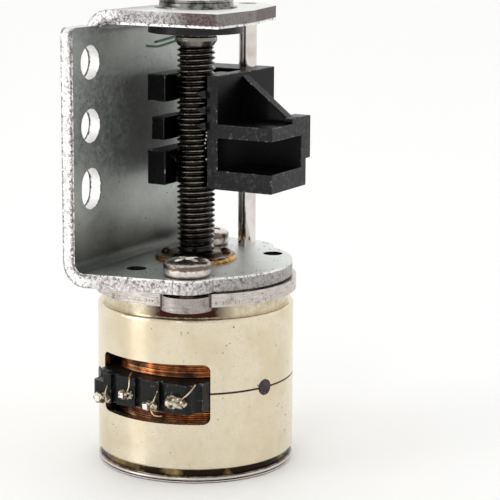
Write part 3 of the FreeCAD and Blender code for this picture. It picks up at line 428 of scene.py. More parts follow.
def oiled_steel():
    """Rolled thread: black oil in the grooves, bright worn crests, dark collar and shoulder."""
    material, tree = principled("oiled_steel", Metallic=1.0, Coat_Weight=0.4, Coat_Roughness=0.12)
    mm = millimetres(tree)
    z = coordinate(tree, mm, Z)
    film = grain(tree, mm, 1.6, detail=5)
    fine = grain(tree, mm, 9.0, detail=5)
    crest = remap(tree, away_from(tree, mm), THREAD_RADIUS - 0.12, THREAD_RADIUS - 0.015)
    below_collar = remap(tree, z, THREAD_END, THREAD_END - 0.1)
    above_bearing = remap(tree, z, THREAD_START + 0.6, THREAD_START + 1.6)
    worn = product(tree, crest, below_collar, above_bearing, remap(tree, film, 0.36, 0.62, 0.15, 1.0))
    oil = blend(tree, remap(tree, film, 0.4, 0.7), (0.007, 0.006, 0.005), (0.035, 0.029, 0.025))
    plain = remap(tree, z, THREAD_END, THREAD_END + 0.1, 0.0, 0.8)
    oil = blend(tree, plain, oil, (0.26, 0.24, 0.22))
    colour = blend(tree, worn, oil, (0.36, 0.32, 0.28))
    roughness = remap(tree, fine, 0.3, 0.7, 0.18, 0.34)
    return finished(material, colour, roughness, (fine, 0.008))


def ground_steel():
    """Ground bright rod, with fine rings round it and a thin brown film in patches."""
    material, tree = principled("ground_steel", Metallic=1.0)
    mm = millimetres(tree)
    rings = grain(tree, millimetres(tree, (1, 1, 14)), 1.5, detail=5)
    stain = grain(tree, mm, 0.5, detail=4)
    film = remap(tree, stain, 0.45, 0.65, 0.0, 0.5)
    colour = blend(tree, film, (0.74, 0.71, 0.67), (0.44, 0.34, 0.29))
    roughness = remap(tree, rings, 0.3, 0.7, 0.06, 0.12)
    return finished(material, colour, roughness, (rings, 0.001))


def dark_cap_metal():
    """Dark oxide on the turned cap, with painted highlights on the crests of its rings."""
    material, tree = principled("dark_cap_metal", Metallic=1.0)
    mm = millimetres(tree)
    turned = grain(tree, mm, 5.0, detail=6, roughness=0.7)
    wear = grain(tree, mm, 1.1, detail=4)
    top = span("top_cap", Z)[1]
    # Painted highlight: the tops of the rings are painted bright, broken up by the wear noise.
    crests = remap(tree, coordinate(tree, mm, Z), top - 0.05, top - 0.01)
    crests = product(tree, crests, remap(tree, wear, 0.35, 0.55))
    metal = blend(tree, remap(tree, wear, 0.4, 0.65), (0.030, 0.029, 0.028), (0.34, 0.33, 0.32))
    colour = blend(tree, crests, metal, (0.86, 0.85, 0.83))
    roughness = remap(tree, turned, 0.3, 0.7, 0.12, 0.28)
    return finished(material, colour, roughness, (turned, 0.01))


def aged_bronze():
    """Bronze collar: nearly black with oil inside, rubbed gold along its rim."""
    material, tree = principled("aged_bronze", Metallic=1.0)
    mm = millimetres(tree)
    oil = grain(tree, mm, 1.1, detail=5, roughness=0.65, distortion=0.6)
    fine = grain(tree, mm, 7.0, detail=5)
    radius = away_from(tree, mm)
    rim = remap(tree, calc(tree, "ADD", radius, product(tree, oil, 0.5)), 2.75, 3.15)
    gold = product(tree, rim, remap(tree, oil, 0.42, 0.56, 0.10, 1.0))
    body = blend(tree, remap(tree, oil, 0.45, 0.65), (0.022, 0.012, 0.008), (0.16, 0.085, 0.04))
    colour = blend(tree, gold, body, (0.70, 0.40, 0.13))
    roughness = remap(tree, oil, 0.35, 0.65, 0.18, 0.38)
    return finished(material, colour, roughness, (fine, 0.015))


def enamelled_copper():
    """Copper wire under clear enamel, darkened by patches of oil."""
    material, tree = principled(
        "enamelled_copper", Metallic=1.0, Coat_Weight=1.0, Coat_Roughness=0.06
    )
    mm = millimetres(tree)
    tint = grain(tree, mm, 1.5, detail=4)
    oil = remap(tree, grain(tree, mm, 0.55, detail=3), 0.46, 0.60, 0.0, 0.80)
    metal = blend(tree, remap(tree, tint, 0.3, 0.7), (0.34, 0.11, 0.04), (0.88, 0.47, 0.20))
    colour = blend(tree, oil, metal, (0.07, 0.018, 0.010))
    roughness = remap(tree, tint, 0.3, 0.7, 0.16, 0.28)
    return finished(material, colour, roughness, (grain(tree, mm, 12.0), 0.004))


def solder_metal():
    """Bright frosted solder with patches of green-brown flux."""
    material, tree = principled("solder_metal", Metallic=1.0)
    mm = millimetres(tree)
    flux = remap(tree, grain(tree, mm, 2.2, detail=5, roughness=0.6), 0.44, 0.56)
    frost = grain(tree, mm, 7.0, detail=6, roughness=0.7)
    colour = blend(tree, flux, (0.68, 0.64, 0.54), (0.11, 0.08, 0.04))
    roughness = remap(tree, frost, 0.3, 0.7, 0.10, 0.28)
    return finished(material, colour, roughness, (frost, 0.04))


def tinned_wire():
    """Tinned copper tails, golden, with dark patches of flux."""
    material, tree = principled("tinned_wire", Metallic=1.0)
    mm = millimetres(tree)
    flux = remap(tree, grain(tree, mm, 1.8, detail=5, roughness=0.7), 0.42, 0.60)
    fine = grain(tree, mm, 9.0, detail=5)
    colour = blend(tree, flux, (0.72, 0.60, 0.42), (0.14, 0.09, 0.045))
    roughness = remap(tree, fine, 0.3, 0.7, 0.16, 0.32)
    return finished(material, colour, roughness, (fine, 0.01))


def moulded_black(name, colour, wear, gloss, shine, texture=5.0, depth=0.006, grain_z=1.0, worn=0.62):
    """Black moulding with a fine spark-eroded texture, paler where it has been handled."""
    material, tree = principled(name, Metallic=0.0, Specular_IOR_Level=shine)
    mm = millimetres(tree)
    skin = grain(tree, millimetres(tree, (1, 1, grain_z)), texture, detail=6, roughness=0.6)
    rub = remap(tree, grain(tree, mm, 2.4, detail=7, roughness=0.75), worn, worn + 0.10)
    colour = blend(tree, rub, colour, wear)
    roughness = remap(tree, skin, 0.3, 0.7, *gloss)
    return finished(material, colour, roughness, (skin, depth))


def mottled(name, metallic, scale, tones, gloss, depth, detail=6, roughness=0.55, low=0.35):
    """A skin of one noise: it mixes two tones, varies the gloss and raises the surface."""
    material, tree = principled(name, Metallic=metallic)
    skin = grain(tree, millimetres(tree), scale, detail, roughness)
    colour = blend(tree, remap(tree, skin, low, 0.7), *tones)
    roughness = remap(tree, skin, 0.3, 0.7, *gloss)
    return finished(material, colour, roughness, (skin, depth))


def natural_plastic():
    """Natural-coloured moulding of the rotor hub and washer."""
    material, tree = principled("natural_plastic", Metallic=0.0)
    mm = millimetres(tree)
    tone = grain(tree, mm, 1.0)
    colour = blend(tree, remap(tree, tone, 0.3, 0.7), (0.70, 0.66, 0.56), (0.80, 0.77, 0.68))
    roughness = remap(tree, grain(tree, mm, 6.0), 0.3, 0.7, 0.38, 0.55)
    return finished(material, colour, roughness, (grain(tree, mm, 8.0), 0.006))


def pale_floor():
    """White studio floor with the faintest tooth."""
    material, tree = principled("pale_floor", Metallic=0.0)
    mm = millimetres(tree)
    tooth = grain(tree, mm, 0.8, detail=3)
    colour = blend(tree, tooth, (0.94, 0.94, 0.935), (0.96, 0.96, 0.955))
    roughness = remap(tree, tooth, 0.3, 0.7, 0.55, 0.65)
    return finished(material, colour, roughness, (tooth, 0.01))


# ---------------------------------------------------------------- mesh helpers

SHARP = 35


def placed(name, data, body):
    """Links a new object into the scene and lets it ride on a body."""
    piece = bpy.data.objects.new(name, data)
    bpy.context.scene.collection.objects.link(piece)
    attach(piece, body)
    return piece


def object_from(name, bm, material, body="frame", smooth_angle=SHARP):
    """Makes a piece from a bmesh, shades it smooth up to an angle and lets it ride."""
    mesh = bpy.data.meshes.new(name)
    bm.to_mesh(mesh)
    bm.free()
    mesh.shade_smooth()
    mesh.set_sharp_from_angle(angle=math.radians(smooth_angle))
    for each in material if isinstance(material, list) else [material]:
        mesh.materials.append(each)
    return placed(name, mesh, body)


def refined(node, materials, body="frame", width=0.06, segments=2, worn=None, choose=None):
    """Stands for a CAD node with its outer edges rounded over; worn is the edges' material slot."""
    bm = bmesh.new()
    bm.from_mesh(nodes[node].data)
    bmesh.ops.remove_doubles(bm, verts=bm.verts, dist=0.0005 * MM)
    bmesh.ops.dissolve_limit(
        bm, angle_limit=math.radians(0.4), verts=bm.verts, edges=bm.edges, delimit={"NORMAL"}
    )
    for face in bm.faces:
        face.material_index = choose(face.calc_center_median() / MM, face.normal) if choose else 0
    rounded = bm.edges.layers.float.new("bevel_weight_edge")
    for edge in bm.edges:
        outer = edge.is_convex and edge.calc_face_angle(0) > math.radians(SHARP)
        edge[rounded] = 1.0 if outer else 0.0
    piece = object_from("fine_" + node, bm, materials, body)
    if "custom_normal" in piece.data.attributes:
        piece.data.attributes.remove(piece.data.attributes["custom_normal"])
    bevel = piece.modifiers.new("round_edges", "BEVEL")
    bevel.width = width * MM
    bevel.segments = segments
    bevel.limit_method = "WEIGHT"
    bevel.use_clamp_overlap = False
    bevel.harden_normals = True
    bevel.material = -1 if worn is None else worn
    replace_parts(piece, node)


def skin_copy(node, materials, choose, body="frame"):
    """Stands for a CAD node with the same skin, each face given the material that choose() names."""
    mesh = nodes[node].data.copy()
    mesh.materials.clear()
    for material in materials:
        mesh.materials.append(material)
    for face in mesh.polygons:
        face.material_index = choose(face.center / MM, face.normal)
    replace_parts(placed("fine_" + node, mesh, body), node)


def bridge_rings(bm, rings, segments):
    """Joins each ring of vertices to the next; a ring of one vertex closes to a point."""
    for low, high in zip(rings, rings[1:]):
        for i in range(segments):
            j = (i + 1) % segments
            corners = [low[i % len(low)], low[j % len(low)], high[j % len(high)], high[i % len(high)]]
            unique = list(dict.fromkeys(corners))
            if len(unique) > 2:
                bm.faces.new(unique)


def ring(bm, radius, z, segments, centre=(0, 0)):
    """The vertices of a level circle, in mm."""
    made = []
    for i in range(segments):
        angle = 2 * math.pi * i / segments
        x, y = centre[0] + radius * math.cos(angle), centre[1] + radius * math.sin(angle)
        made.append(bm.verts.new((x * MM, y * MM, z * MM)))
    return made


def lathe(profile, segments):
    """A surface of revolution about the screw's axis, from (radius, z) points in mm."""
    bm = bmesh.new()
    rings = [ring(bm, radius, z, segments if radius else 1) for radius, z in profile]
    bridge_rings(bm, rings, segments)
    bmesh.ops.recalc_face_normals(bm, faces=bm.faces)
    return bm


# ---------------------------------------------------------------- pieces

def thread_rows(bm, segments, root):
    """Rows of vertices along the helix: crest, flank and root of every turn, run out at both ends."""
    ridge = (
        (0.00, THREAD_RADIUS - 0.03), (0.06, THREAD_RADIUS), (0.16, THREAD_RADIUS),
        (0.22, THREAD_RADIUS - 0.03), (0.52, root + 0.02), (0.58, root), (0.68, root), (0.74, root + 0.02),
    )
    run_in, run_out = 0.5, 0.3
    turns = int((THREAD_END - THREAD_START) / THREAD_PITCH) + 2
    rows = []
    for turn in range(turns + 1):
        for phase, radius in ridge:
            row = []
            for i in range(segments + 1):
                z = THREAD_START + THREAD_PITCH * (turn - 1 + phase + i / segments)
                inside = min(max(z, THREAD_START), THREAD_END)
                share = min(1.0, (inside - THREAD_START) / run_in, (THREAD_END - inside) / run_out)
                r = root + (radius - root) * max(0.0, share)
                angle = 2 * math.pi * i / segments
                row.append(bm.verts.new((
                    r * math.cos(angle) * MM, r * math.sin(angle) * MM, inside * MM
                )))
            rows.append(row)
    return rows


def make_lead_screw():
    """Lead screw with a real helical thread, a chamfered collar, a shoulder and its journals."""
    segments = 64
    root = THREAD_RADIUS - THREAD_DEPTH
    shoulder = THREAD_RADIUS - 0.06
    journal, spigot = 1.0, 0.9
    bm = bmesh.new()
    rows = thread_rows(bm, segments, root)
    for low, high in zip(rows, rows[1:]):
        for i in range(segments):
            bm.faces.new((low[i], low[i + 1], high[i + 1], high[i]))
    bmesh.ops.remove_doubles(bm, verts=bm.verts, dist=0.002 * MM)
    bottom, top = span("lead_screw", Z)
    tail = (
        (0, bottom), (journal - 0.15, bottom), (journal, bottom + 0.15), (journal, SHOULDER_START),
        (shoulder - 0.04, SHOULDER_START), (shoulder, SHOULDER_START + 0.05), (shoulder, THREAD_START),
        (root, THREAD_START),
    )
    head = (
        (root, THREAD_END), (shoulder - 0.04, THREAD_END + 0.02), (COLLAR_RADIUS, THREAD_END + 0.4),
        (COLLAR_RADIUS, COLLAR_TOP - 0.1), (COLLAR_RADIUS - 0.1, COLLAR_TOP), (spigot, COLLAR_TOP),
        (spigot, top - 0.1), (spigot - 0.1, top), (0, top),
    )
    for profile in (tail, head):
        part = lathe(profile, segments)
        mesh = bpy.data.meshes.new("part")
        part.to_mesh(mesh)
        part.free()
        bm.from_mesh(mesh)
        bpy.data.meshes.remove(mesh)
    bmesh.ops.recalc_face_normals(bm, faces=bm.faces)
    piece = object_from("threaded_screw", bm, OILED, "rotor", 28)
    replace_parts(piece, "lead_screw")


def make_top_cap():
    """Turned cap with a raised rim, concentric grooves and a centre dimple."""
    base, top = span("top_cap", Z)
    flare = span("top_cap", X)[1]
    rim = flare - 0.3
    profile = [
        (0, base), (flare, base), (flare, base + 0.08), (flare - 0.06, base + 0.13),
        (rim + 0.03, base + 0.15), (rim, base + 0.20), (rim, top - 0.32), (rim - 0.05, top - 0.26),
        (rim, top - 0.20), (rim - 0.06, top - 0.08), (rim - 0.16, top - 0.01), (rim - 0.32, top),
    ]
    deep = top - 0.09
    for groove in (2.3, 1.95, 1.6, 1.25):
        profile += [(groove + 0.10, top), (groove + 0.05, deep), (groove - 0.05, deep), (groove - 0.10, top)]
    profile += [(0.85, top - 0.02), (0.62, top - 0.18), (0, top - 0.22)]
    piece = object_from("turned_cap", lathe(profile, 128), CAP, "frame", 30)
    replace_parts(piece, "top_cap")


def make_end_plate():
    """End plate with two rolled rings round its rim, one broad, and the bearing pocket inside."""
    bottom, top = span("end_plate", Z)
    crown, valley = CASE_RADIUS - 0.02, CASE_RADIUS - 0.12
    pocket_radius, pocket_floor = 1.4, 0.25
    profile = [(0, bottom), (CASE_RADIUS - 0.25, bottom)]
    for height, half in ((0.11, 0.05), (0.32, 0.10)):
        middle = bottom + height
        profile += [
            (valley, middle - half - 0.03), (crown, middle - half * 0.6), (CASE_RADIUS, middle),
            (crown, middle + half * 0.6), (valley, middle + half + 0.03),
        ]
    profile += [
        (CASE_RADIUS - 0.14, top), (pocket_radius, top), (pocket_radius, pocket_floor), (0, pocket_floor)
    ]
    piece = object_from("rolled_end_plate", lathe(profile, 160), RIM, "frame", 40)
    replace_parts(piece, "end_plate")


def make_front_bearing():
    """Bronze collar with a low rolled rim and raised stakes round the bore."""
    bottom, top = span("front_bearing", Z)
    bore, barrel, rim = 1.03, 2.2, span("front_bearing", X)[1]
    profile = [
        (bore, top), (1.3, top), (1.9, top - 0.02), (2.05, top - 0.12), (2.25, top - 0.22), (2.6, top - 0.25),
        (2.85, top - 0.20), (3.0, top - 0.26), (rim - 0.02, top - 0.36), (rim, top - 0.44),
        (rim, FLANGE_TOP + 0.05), (rim - 0.05, FLANGE_TOP), (barrel, FLANGE_TOP), (barrel, bottom),
        (bore, bottom), (bore, top),
    ]
    bm = lathe(profile, 144)
    for vertex in bm.verts:
        x, y, z = vertex.co / MM
        if z < top - 0.4 or math.hypot(x, y) < bore + 0.1:
            continue
        vertex.co.z -= 0.04 * MM * (0.5 + noise.noise(Vector((x * 2, y * 2, 0))))
    stake_circle = 2.3
    tall, flat = (0.42, 0.42, 0.34), (0.3, 0.3, 0.16)
    for seed, (degrees, radii) in enumerate(((104, tall), (205, flat), (313, tall), (30, flat))):
        angle = math.radians(degrees)
        place = (stake_circle * math.cos(angle), stake_circle * math.sin(angle), top - 0.22)
        blob(bm, place, radii, seed + 2.0, 0.3, 3)
    piece = object_from("bronze_collar_rim", bm, BRONZE, "frame", 40)
    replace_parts(piece, "front_bearing")


def soft_step(value, edge, softness):
    """Falls from 1 to 0 as a value passes an edge."""
    return 1 / (1 + math.exp((value - edge) / softness))


def head_height(px, py, share, turn):
    """Height of a domed head above its foot, with its cross recess; share runs from centre to rim."""
    height = HEAD_TOP - FLANGE_TOP
    rim = height * RIM_SHARE
    u = px * math.cos(turn) + py * math.sin(turn)
    v = -px * math.sin(turn) + py * math.cos(turn)
    across, reach = min(abs(u), abs(v)), max(abs(u), abs(v))
    slot = soft_step(across, 0.17, 0.025) * soft_step(reach, 1.05, 0.04)
    core = soft_step(math.hypot(u, v), 0.36, 0.05)
    recess = 0.50 * max(slot, core) * (1 - 0.35 * min(1, reach))
    return rim + (height - rim) * math.sqrt(max(0.0, 1 - share ** 2.6)) - recess


def pan_head(bm, centre, turn):
    """A domed head with a cross recess: a height field on rings, then its skirt and shank."""
    x, y = centre
    rim = (HEAD_TOP - FLANGE_TOP) * RIM_SHARE
    segments, rings = 144, 44
    grid = []
    for j in range(rings + 1):
        share = j / rings
        row = ring(bm, HEAD_RADIUS * share, FLANGE_TOP, segments if j else 1, centre)
        for vertex in row:
            px, py = vertex.co.x / MM - x, vertex.co.y / MM - y
            vertex.co.z += head_height(px, py, share, turn) * MM
        grid.append(row)
    skirt = (
        (HEAD_RADIUS, rim - 0.12), (HEAD_RADIUS, 0.30), (HEAD_RADIUS - 0.04, 0.12),
        (HEAD_RADIUS - 0.14, 0.02), (HEAD_RADIUS - 0.2, 0.0), (0.8, 0.0), (0.8, -2.1),
    )
    for radius, z in skirt:
        grid.append(ring(bm, radius, FLANGE_TOP + z, segments, centre))
    bridge_rings(bm, grid, segments)
    bm.faces.new(list(reversed(grid[-1])))


def make_flange_screws():
    """Both flange screws, each with its cross turned its own way."""
    bm = bmesh.new()
    pan_head(bm, FRONT_SCREW, math.radians(70))
    pan_head(bm, REAR_SCREW, math.radians(10))
    bmesh.ops.recalc_face_normals(bm, faces=bm.faces)
    piece = object_from("pan_head_screws", bm, SCREW, "frame", 50)
    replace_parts(piece, "flange_screws")


def make_coil(side):
    """The outer layer of a winding: one rounded turn of wire above the next."""
    low, high = span("coil_" + side, Z)
    outer = span("coil_" + side, X)[1]
    inner = outer - 1.5
    gauge = 0.15
    face = outer - gauge * 0.5
    turns = int((high - low) / gauge)
    step = (high - low) / turns
    picker = random.Random(7 if side == "upper" else 8)
    profile = [(inner, low)]
    for turn in range(turns):
        sink = picker.uniform(0, 0.05)
        for share in (0.0, 0.25, 0.5, 0.75):
            bulge = math.sin(math.pi * share) * gauge * 0.5
            profile.append((face - sink + bulge, low + step * (turn + share)))
    profile += [(face, high), (inner, high), (inner, low)]
    piece = object_from("winding_" + side, lathe(profile, 160), COPPER, "frame", 60)
    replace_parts(piece, "coil_" + side)


def blob(bm, centre, radii, seed, rough=0.2, detail=4):
    """A lumpy rounded drop of solder."""
    made = bmesh.ops.create_icosphere(bm, subdivisions=detail, radius=1.0)
    for vertex in made["verts"]:
        direction = vertex.co.copy()
        swell = 1 + rough * noise.noise(direction * 1.6 + Vector((seed, seed * 0.7, 0)))
        swell += rough * 0.3 * noise.noise(direction * 4.5 + Vector((0, seed, 3)))
        vertex.co = Vector([(c + d * r * swell) * MM for c, d, r in zip(centre, direction, radii)])


def pin_place(step):
    """Y and Z of a terminal pin, counted from the -Y end; the pins zigzag between two levels."""
    return PIN_FIRST + (PIN_LAST - PIN_FIRST) * step / 3, PIN_LEVELS[step % 2]


def make_solder():
    """Four uneven drops of solder on the terminal pins, each a different size."""
    bm = bmesh.new()
    for step, size in enumerate((0.60, 0.44, 0.44, 0.50)):
        y, z = pin_place(step)
        blob(bm, (BLOCK_FACE_X - 0.30, y, z), (size * 0.75, size * 0.95, size * 0.85), step + 1.3, 0.25)
        blob(bm, (BLOCK_FACE_X - 0.05, y - 0.25, z - 0.05), (0.24, size, size * 0.8), step + 4.1, 0.35)
        knot = (BLOCK_FACE_X - 0.22, y - size * 0.8, z + size * 0.35)
        blob(bm, knot, (0.18, 0.20, 0.18), step + 7.7, 0.35, 3)
    y, z = pin_place(0)
    blob(bm, (BLOCK_FACE_X - 0.16, y - 0.75, z + 0.02), (0.24, 0.36, 0.34), 9.2, 0.35)
    piece = object_from("solder_drops", bm, SOLDER, "frame", 60)
    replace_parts(piece, "solder_joints")


def wire(name, points, radius, material):
    """A thin stiff wire through points in mm."""
    curve = bpy.data.curves.new(name, "CURVE")
    curve.dimensions = "3D"
    curve.bevel_depth = radius * MM
    curve.bevel_resolution = 3
    curve.use_fill_caps = True
    spline = curve.splines.new("NURBS")
    spline.points.add(len(points) - 1)
    for point, place in zip(spline.points, points):
        point.co = (*[c * MM for c in place], 1)
    spline.order_u = 3
    spline.use_endpoint_u = True
    curve.materials.append(material)
    placed(name, curve, "frame")


def make_wire_tails():
    """Ends of the windings, wrapped on the pins and led back into the motor."""
    # Each pin, then offsets from its place on the block's face.
    steps = (
        (0, ((-0.45, -0.3, 0.1), (-0.5, -0.9, 0.35), (-0.4, -1.3, 0.7), (-0.1, -1.5, 1.0), (0.5, -1.5, 1.3))),
        (1, ((-0.45, -0.3, 0.1), (-0.5, -0.6, 0.35), (-0.3, -0.7, 0.8), (0.05, -0.65, 1.1))),
        (1, ((-0.35, -0.3, -0.2), (-0.5, -0.5, -0.5), (-0.35, -0.8, -0.7), (0.1, -1.0, -0.75))),
        (2, ((-0.4, -0.25, 0.1), (-0.5, -0.6, 0.5), (-0.4, -0.6, 1.0), (-0.1, -0.4, 1.4), (0.5, -0.3, 1.6))),
        (3, ((-0.4, -0.35, 0.1), (-0.5, -0.6, 0.3), (-0.3, -0.6, 0.8), (0.1, -0.5, 1.0))),
    )
    for count, (pin, offsets) in enumerate(steps):
        y, z = pin_place(pin)
        route = [(BLOCK_FACE_X + dx, y + dy, z + dz) for dx, dy, dz in offsets]
        wire("wire_tail_%d" % count, route, 0.055, WIRE)


def make_nut_teeth():
    """Coarse teeth of the half nut that show beside the screw, and specks of grease below them."""
    bm = bmesh.new()
    bottom, top = span("slider", Z)
    root_y = NUT_WALL_BACK - 0.08
    for level in (top - 1.35, top - 2.55, top - 3.75):
        front, back = [
            [
                bm.verts.new((x * MM, y * MM, (level + rise) * MM))
                for y, rise in ((root_y, -0.36), (tip_y, -0.04), (tip_y, 0.04), (root_y, 0.26))
            ]
            for x, tip_y in ((NUT_WALL_LEFT - 0.35, -0.80), (NUT_WALL_LEFT + 0.05, -1.22))
        ]
        bm.faces.new(front)
        bm.faces.new(list(reversed(back)))
        for i in range(4):
            j = (i + 1) % 4
            bm.faces.new((front[i], back[i], back[j], front[j]))
    bmesh.ops.recalc_face_normals(bm, faces=bm.faces)
    object_from("nut_teeth", bm, SLIDER_LIT_SIDE, "slider", 30)
    grease = bmesh.new()
    picker = random.Random(3)
    for _ in range(7):
        size = picker.uniform(0.04, 0.09)
        y = picker.uniform(NUT_WALL_BACK, NUT_WALL_BACK + 0.15)
        place = (NUT_WALL_LEFT - 0.02, y, picker.uniform(bottom + 2.2, bottom + 4.6))
        blob(grease, place, (size * 0.6, size, size * 1.2), picker.uniform(0, 9), 0.4, 2)
    object_from("grease_specks", grease, GREASE, "slider", 60)


def make_green_mark():
    """Two thin strokes of marking paint on the plate near the top bend."""
    # Each point as x and the drop below the top flange.
    strokes = (
        ((0.7, 2.1), (1.9, 2.3), (3.3, 2.2), (5.1, 2.0)),
        ((1.9, 1.9), (3.5, 1.8), (4.9, 1.65)),
    )
    for step, points in enumerate(strokes):
        route = [(x, PLATE_INNER_Y - 0.03, TOP_FLANGE_BOTTOM - drop) for x, drop in points]
        wire("green_stroke_%d" % step, route, 0.09, GREEN)


def bracket_edges(centre, normal):
    """Says whether a face of the bracket is sheet surface (0), cut edge (1) or a small bore (2)."""
    x, y, z = centre
    inside = PLATE_LEFT + 0.8 < x < PLATE_RIGHT - 0.8 and FLANGE_TOP + 1.2 < z < TOP_FLANGE_BOTTOM - 0.9
    if inside and y > PLATE_INNER_Y + 0.05 and abs(normal.y) < 0.5:
        return 2
    if z < FLANGE_TOP and any(math.hypot(x - hx, y - hy) < 0.8 for hx, hy in SPARE_HOLES):
        return 2
    if abs(normal.x) > 0.7:
        return 1
    in_plate = y > PLATE_INNER_Y - 0.8 and FLANGE_TOP + 0.7 < z < TOP_FLANGE_BOTTOM - 0.8
    if in_plate:
        return 1 if abs(normal.y) < 0.5 else 0
    on_bend = y > PLATE_INNER_Y - 0.95
    if on_bend:
        ears = z > TOP_FLANGE_BOTTOM - 0.8 and abs(x) > 6
        return 1 if ears and abs(normal.y) < 0.5 else 0
    return 1 if abs(normal.z) < 0.5 else 0


def slider_lit_faces(centre, normal):
    """Says whether a face of the slider is a plain one (0) or one on the lit side, painted paler (1)."""
    front = normal.x < -0.5 and centre.x < 0 and centre.y < NUT_WALL_BACK + 0.5
    arm_end = normal.y < -0.5 and centre.y < span("slider", Y)[0] + 0.5
    sloping = abs(normal.y) > 0.3 and normal.z > 0.3
    return 1 if front or arm_end or sloping else 0


def make_floor():
    """A wide pale floor under the motor."""
    bm = bmesh.new()
    bmesh.ops.create_grid(bm, x_segments=8, y_segments=8, size=1.5)
    mesh = bpy.data.meshes.new("floor")
    bm.to_mesh(mesh)
    bm.free()
    floor = bpy.data.objects.new("floor", mesh)
    floor.location.z = cad_low.z
    mesh.materials.append(pale_floor())
    bpy.context.scene.collection.objects.link(floor)


def area_light(name, place, aim, size, power):
    """A rectangular light turned towards a point."""
    light = bpy.data.lights.new(name, "AREA")
    light.shape = "RECTANGLE"
    light.size, light.size_y = size
    light.energy = power
    holder = bpy.data.objects.new(name, light)
    holder.location = place
    holder.rotation_euler = (Vector(aim) - Vector(place)).to_track_quat("-Z", "Y").to_euler()
    bpy.context.scene.collection.objects.link(holder)


DIM_SIDE = Vector((-0.86, -0.51, 0.1))


def make_lights():
    """A white tent, dimmer on one side, with a low soft key and a narrow strip light."""
    world = bpy.data.worlds.new("tent")
    bpy.context.scene.world = world
    world.use_nodes = True
    tree = world.node_tree
    background = tree.nodes["Background"]
    background.inputs["Color"].default_value = (1.0, 0.995, 0.985, 1)
    toward = shader_node(tree, "VectorMath")
    toward.operation = "DOT_PRODUCT"
    toward.inputs[1].default_value = DIM_SIDE.normalized()
    tree.links.new(shader_node(tree, "TexCoord").outputs["Generated"], toward.inputs[0])
    strength = remap(tree, toward.outputs["Value"], 0.1, 0.95, 1.08, 0.80)
    tree.links.new(strength, background.inputs["Strength"])
    middle = (cad_low + cad_high) / 2
    area_light("key", (-0.25, 0.20, 0.085), middle, (0.12, 0.17), 0.25)
    area_light("spark", (-0.22, -0.04, 0.20), middle, (0.03, 0.20), 0.05)


def make_camera():
    """The photograph's viewpoint, slightly above the bottom flange on the -X, -Y side."""
    data = bpy.data.cameras.new("camera")
    camera = bpy.data.objects.new("camera", data)
    bpy.context.scene.collection.objects.link(camera)
    camera.location = Vector((-116.88, -69.50, 43.32)) * MM
    yaw, pitch, roll = math.radians(61.0), math.radians(10.03), math.radians(0.36)
    turn = Matrix.Rotation(-yaw, 3, "Z") @ Matrix.Rotation(math.pi / 2 - pitch, 3, "X")
    camera.rotation_euler = (turn @ Matrix.Rotation(roll, 3, "Z")).to_euler()
    data.sensor_width = 36
    data.lens = 130.4
    data.shift_y = -0.08
    data.clip_start = 0.005
    data.clip_end = 10
    bpy.context.scene.camera = camera


def paint(node, material):
    """Gives a carried-over CAD node its finished material."""
    for slot in nodes[node].material_slots:
        slot.material = material


# ---------------------------------------------------------------- building

GALVANISED = galvanised_face()
EDGE = sheared_edge()
BORE = rimmed_bore_and_shade()
PLATED = satin_plate()
RIM = rim_steel()
NICKEL = warm_nickel()
SCREW = screw_plating()
OILED = oiled_steel()
GROUND = ground_steel()
CAP = dark_cap_metal()
BRONZE = aged_bronze()
COPPER = enamelled_copper()
SOLDER = solder_metal()
TINNED = bright_steel()
WIRE = tinned_wire()
SLIDER = moulded_black(
    "slider_black", (0.0014, 0.0014, 0.0018), (0.005, 0.005, 0.005), (0.24, 0.42), shine=0.09
)
# Painted light: a paler copy of the slider black, for the faces on the lit side.
SLIDER_LIT_SIDE = moulded_black(
    "slider_lit_side", (0.003, 0.003, 0.0035), (0.045, 0.045, 0.047), (0.24, 0.46),
    shine=0.20, texture=4.0, depth=0.03, worn=0.53,
)
SLIDER_EDGE = moulded_black(
    "slider_worn_edge", (0.006, 0.006, 0.007), (0.30, 0.30, 0.31), (0.22, 0.42),
    shine=0.25, depth=0.02, worn=0.55,
)
BLOCK = moulded_black(
    "block_black", (0.004, 0.004, 0.004), (0.13, 0.12, 0.10), (0.26, 0.50),
    shine=0.22, depth=0.03, grain_z=0.25, worn=0.58,
)
BUSH = moulded_black("bush_black", (0.005, 0.005, 0.005), (0.10, 0.10, 0.10), (0.28, 0.45), shine=0.30)
BOBBIN = moulded_black("bobbin_black", (0.010, 0.008, 0.007), (0.03, 0.026, 0.022), (0.4, 0.6), shine=0.30)
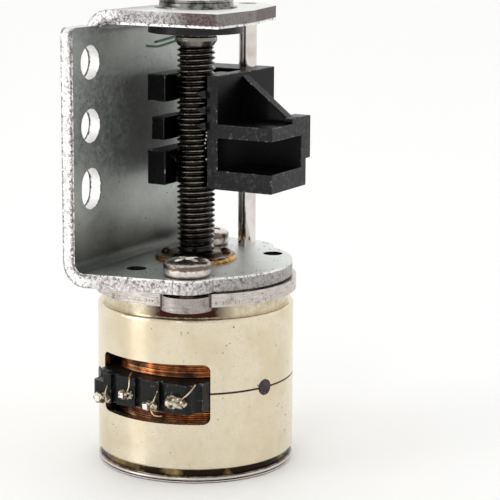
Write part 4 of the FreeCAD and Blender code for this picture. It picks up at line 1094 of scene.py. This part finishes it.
GREASE = mottled(
    "pale_grease", 0.0, 8.0, ((0.20, 0.19, 0.18), (0.50, 0.49, 0.46)), (0.22, 0.42), 0.01, detail=4, low=0.3
)
HUB = natural_plastic()
FERRITE = mottled(
    "dark_mineral", 0.0, 8.0, ((0.05, 0.05, 0.055), (0.13, 0.13, 0.14)), (0.45, 0.65), 0.012, roughness=0.7
)
IRON = mottled("soft_iron", 1.0, 1.4, ((0.34, 0.33, 0.32), (0.52, 0.51, 0.50)), (0.32, 0.50), 0.01)
WELD = mottled(
    "weld_scale", 1.0, 3.5, ((0.020, 0.015, 0.018), (0.15, 0.12, 0.14)), (0.35, 0.60), 0.04, roughness=0.7
)
GREEN = mottled(
    "green_paint", 0.0, 4.0, ((0.008, 0.10, 0.025), (0.02, 0.24, 0.06)), (0.25, 0.45), 0.02, detail=5
)

skin_copy("bracket", [GALVANISED, EDGE, BORE], bracket_edges)
slider_materials = [SLIDER, SLIDER_LIT_SIDE, SLIDER_EDGE]
refined("slider", slider_materials, "slider", width=0.07, segments=3, worn=2, choose=slider_lit_faces)
refined("terminal_block", [BLOCK, SLIDER_EDGE], width=0.05, worn=1)
refined("top_bush", BUSH)
refined("terminal_pins", TINNED, width=0.03)
refined("seam_welds", WELD, width=0.02)
refined("guide_rod", GROUND, width=0.05)
make_lead_screw()
make_top_cap()
make_end_plate()
make_front_bearing()
make_nut_teeth()
make_flange_screws()
make_coil("upper")
make_coil("lower")
make_solder()
make_wire_tails()
make_green_mark()

for cad_node, cad_material in {
    "pole_plate_lower": IRON, "pole_plate_upper": IRON, "bobbin_lower": BOBBIN, "bobbin_upper": BOBBIN,
    "motor_flange_plate": PLATED, "case_upper": NICKEL, "case_lower": NICKEL,
    "rear_bearing": BRONZE, "preload_spring": GROUND, "thrust_ball": GROUND, "rotor_hub": HUB,
    "rotor_magnet": FERRITE, "thrust_washer": HUB,
}.items():
    paint(cad_node, cad_material)

make_floor()
make_lights()
make_camera()
bpy.context.scene.view_settings.view_transform = "Standard"
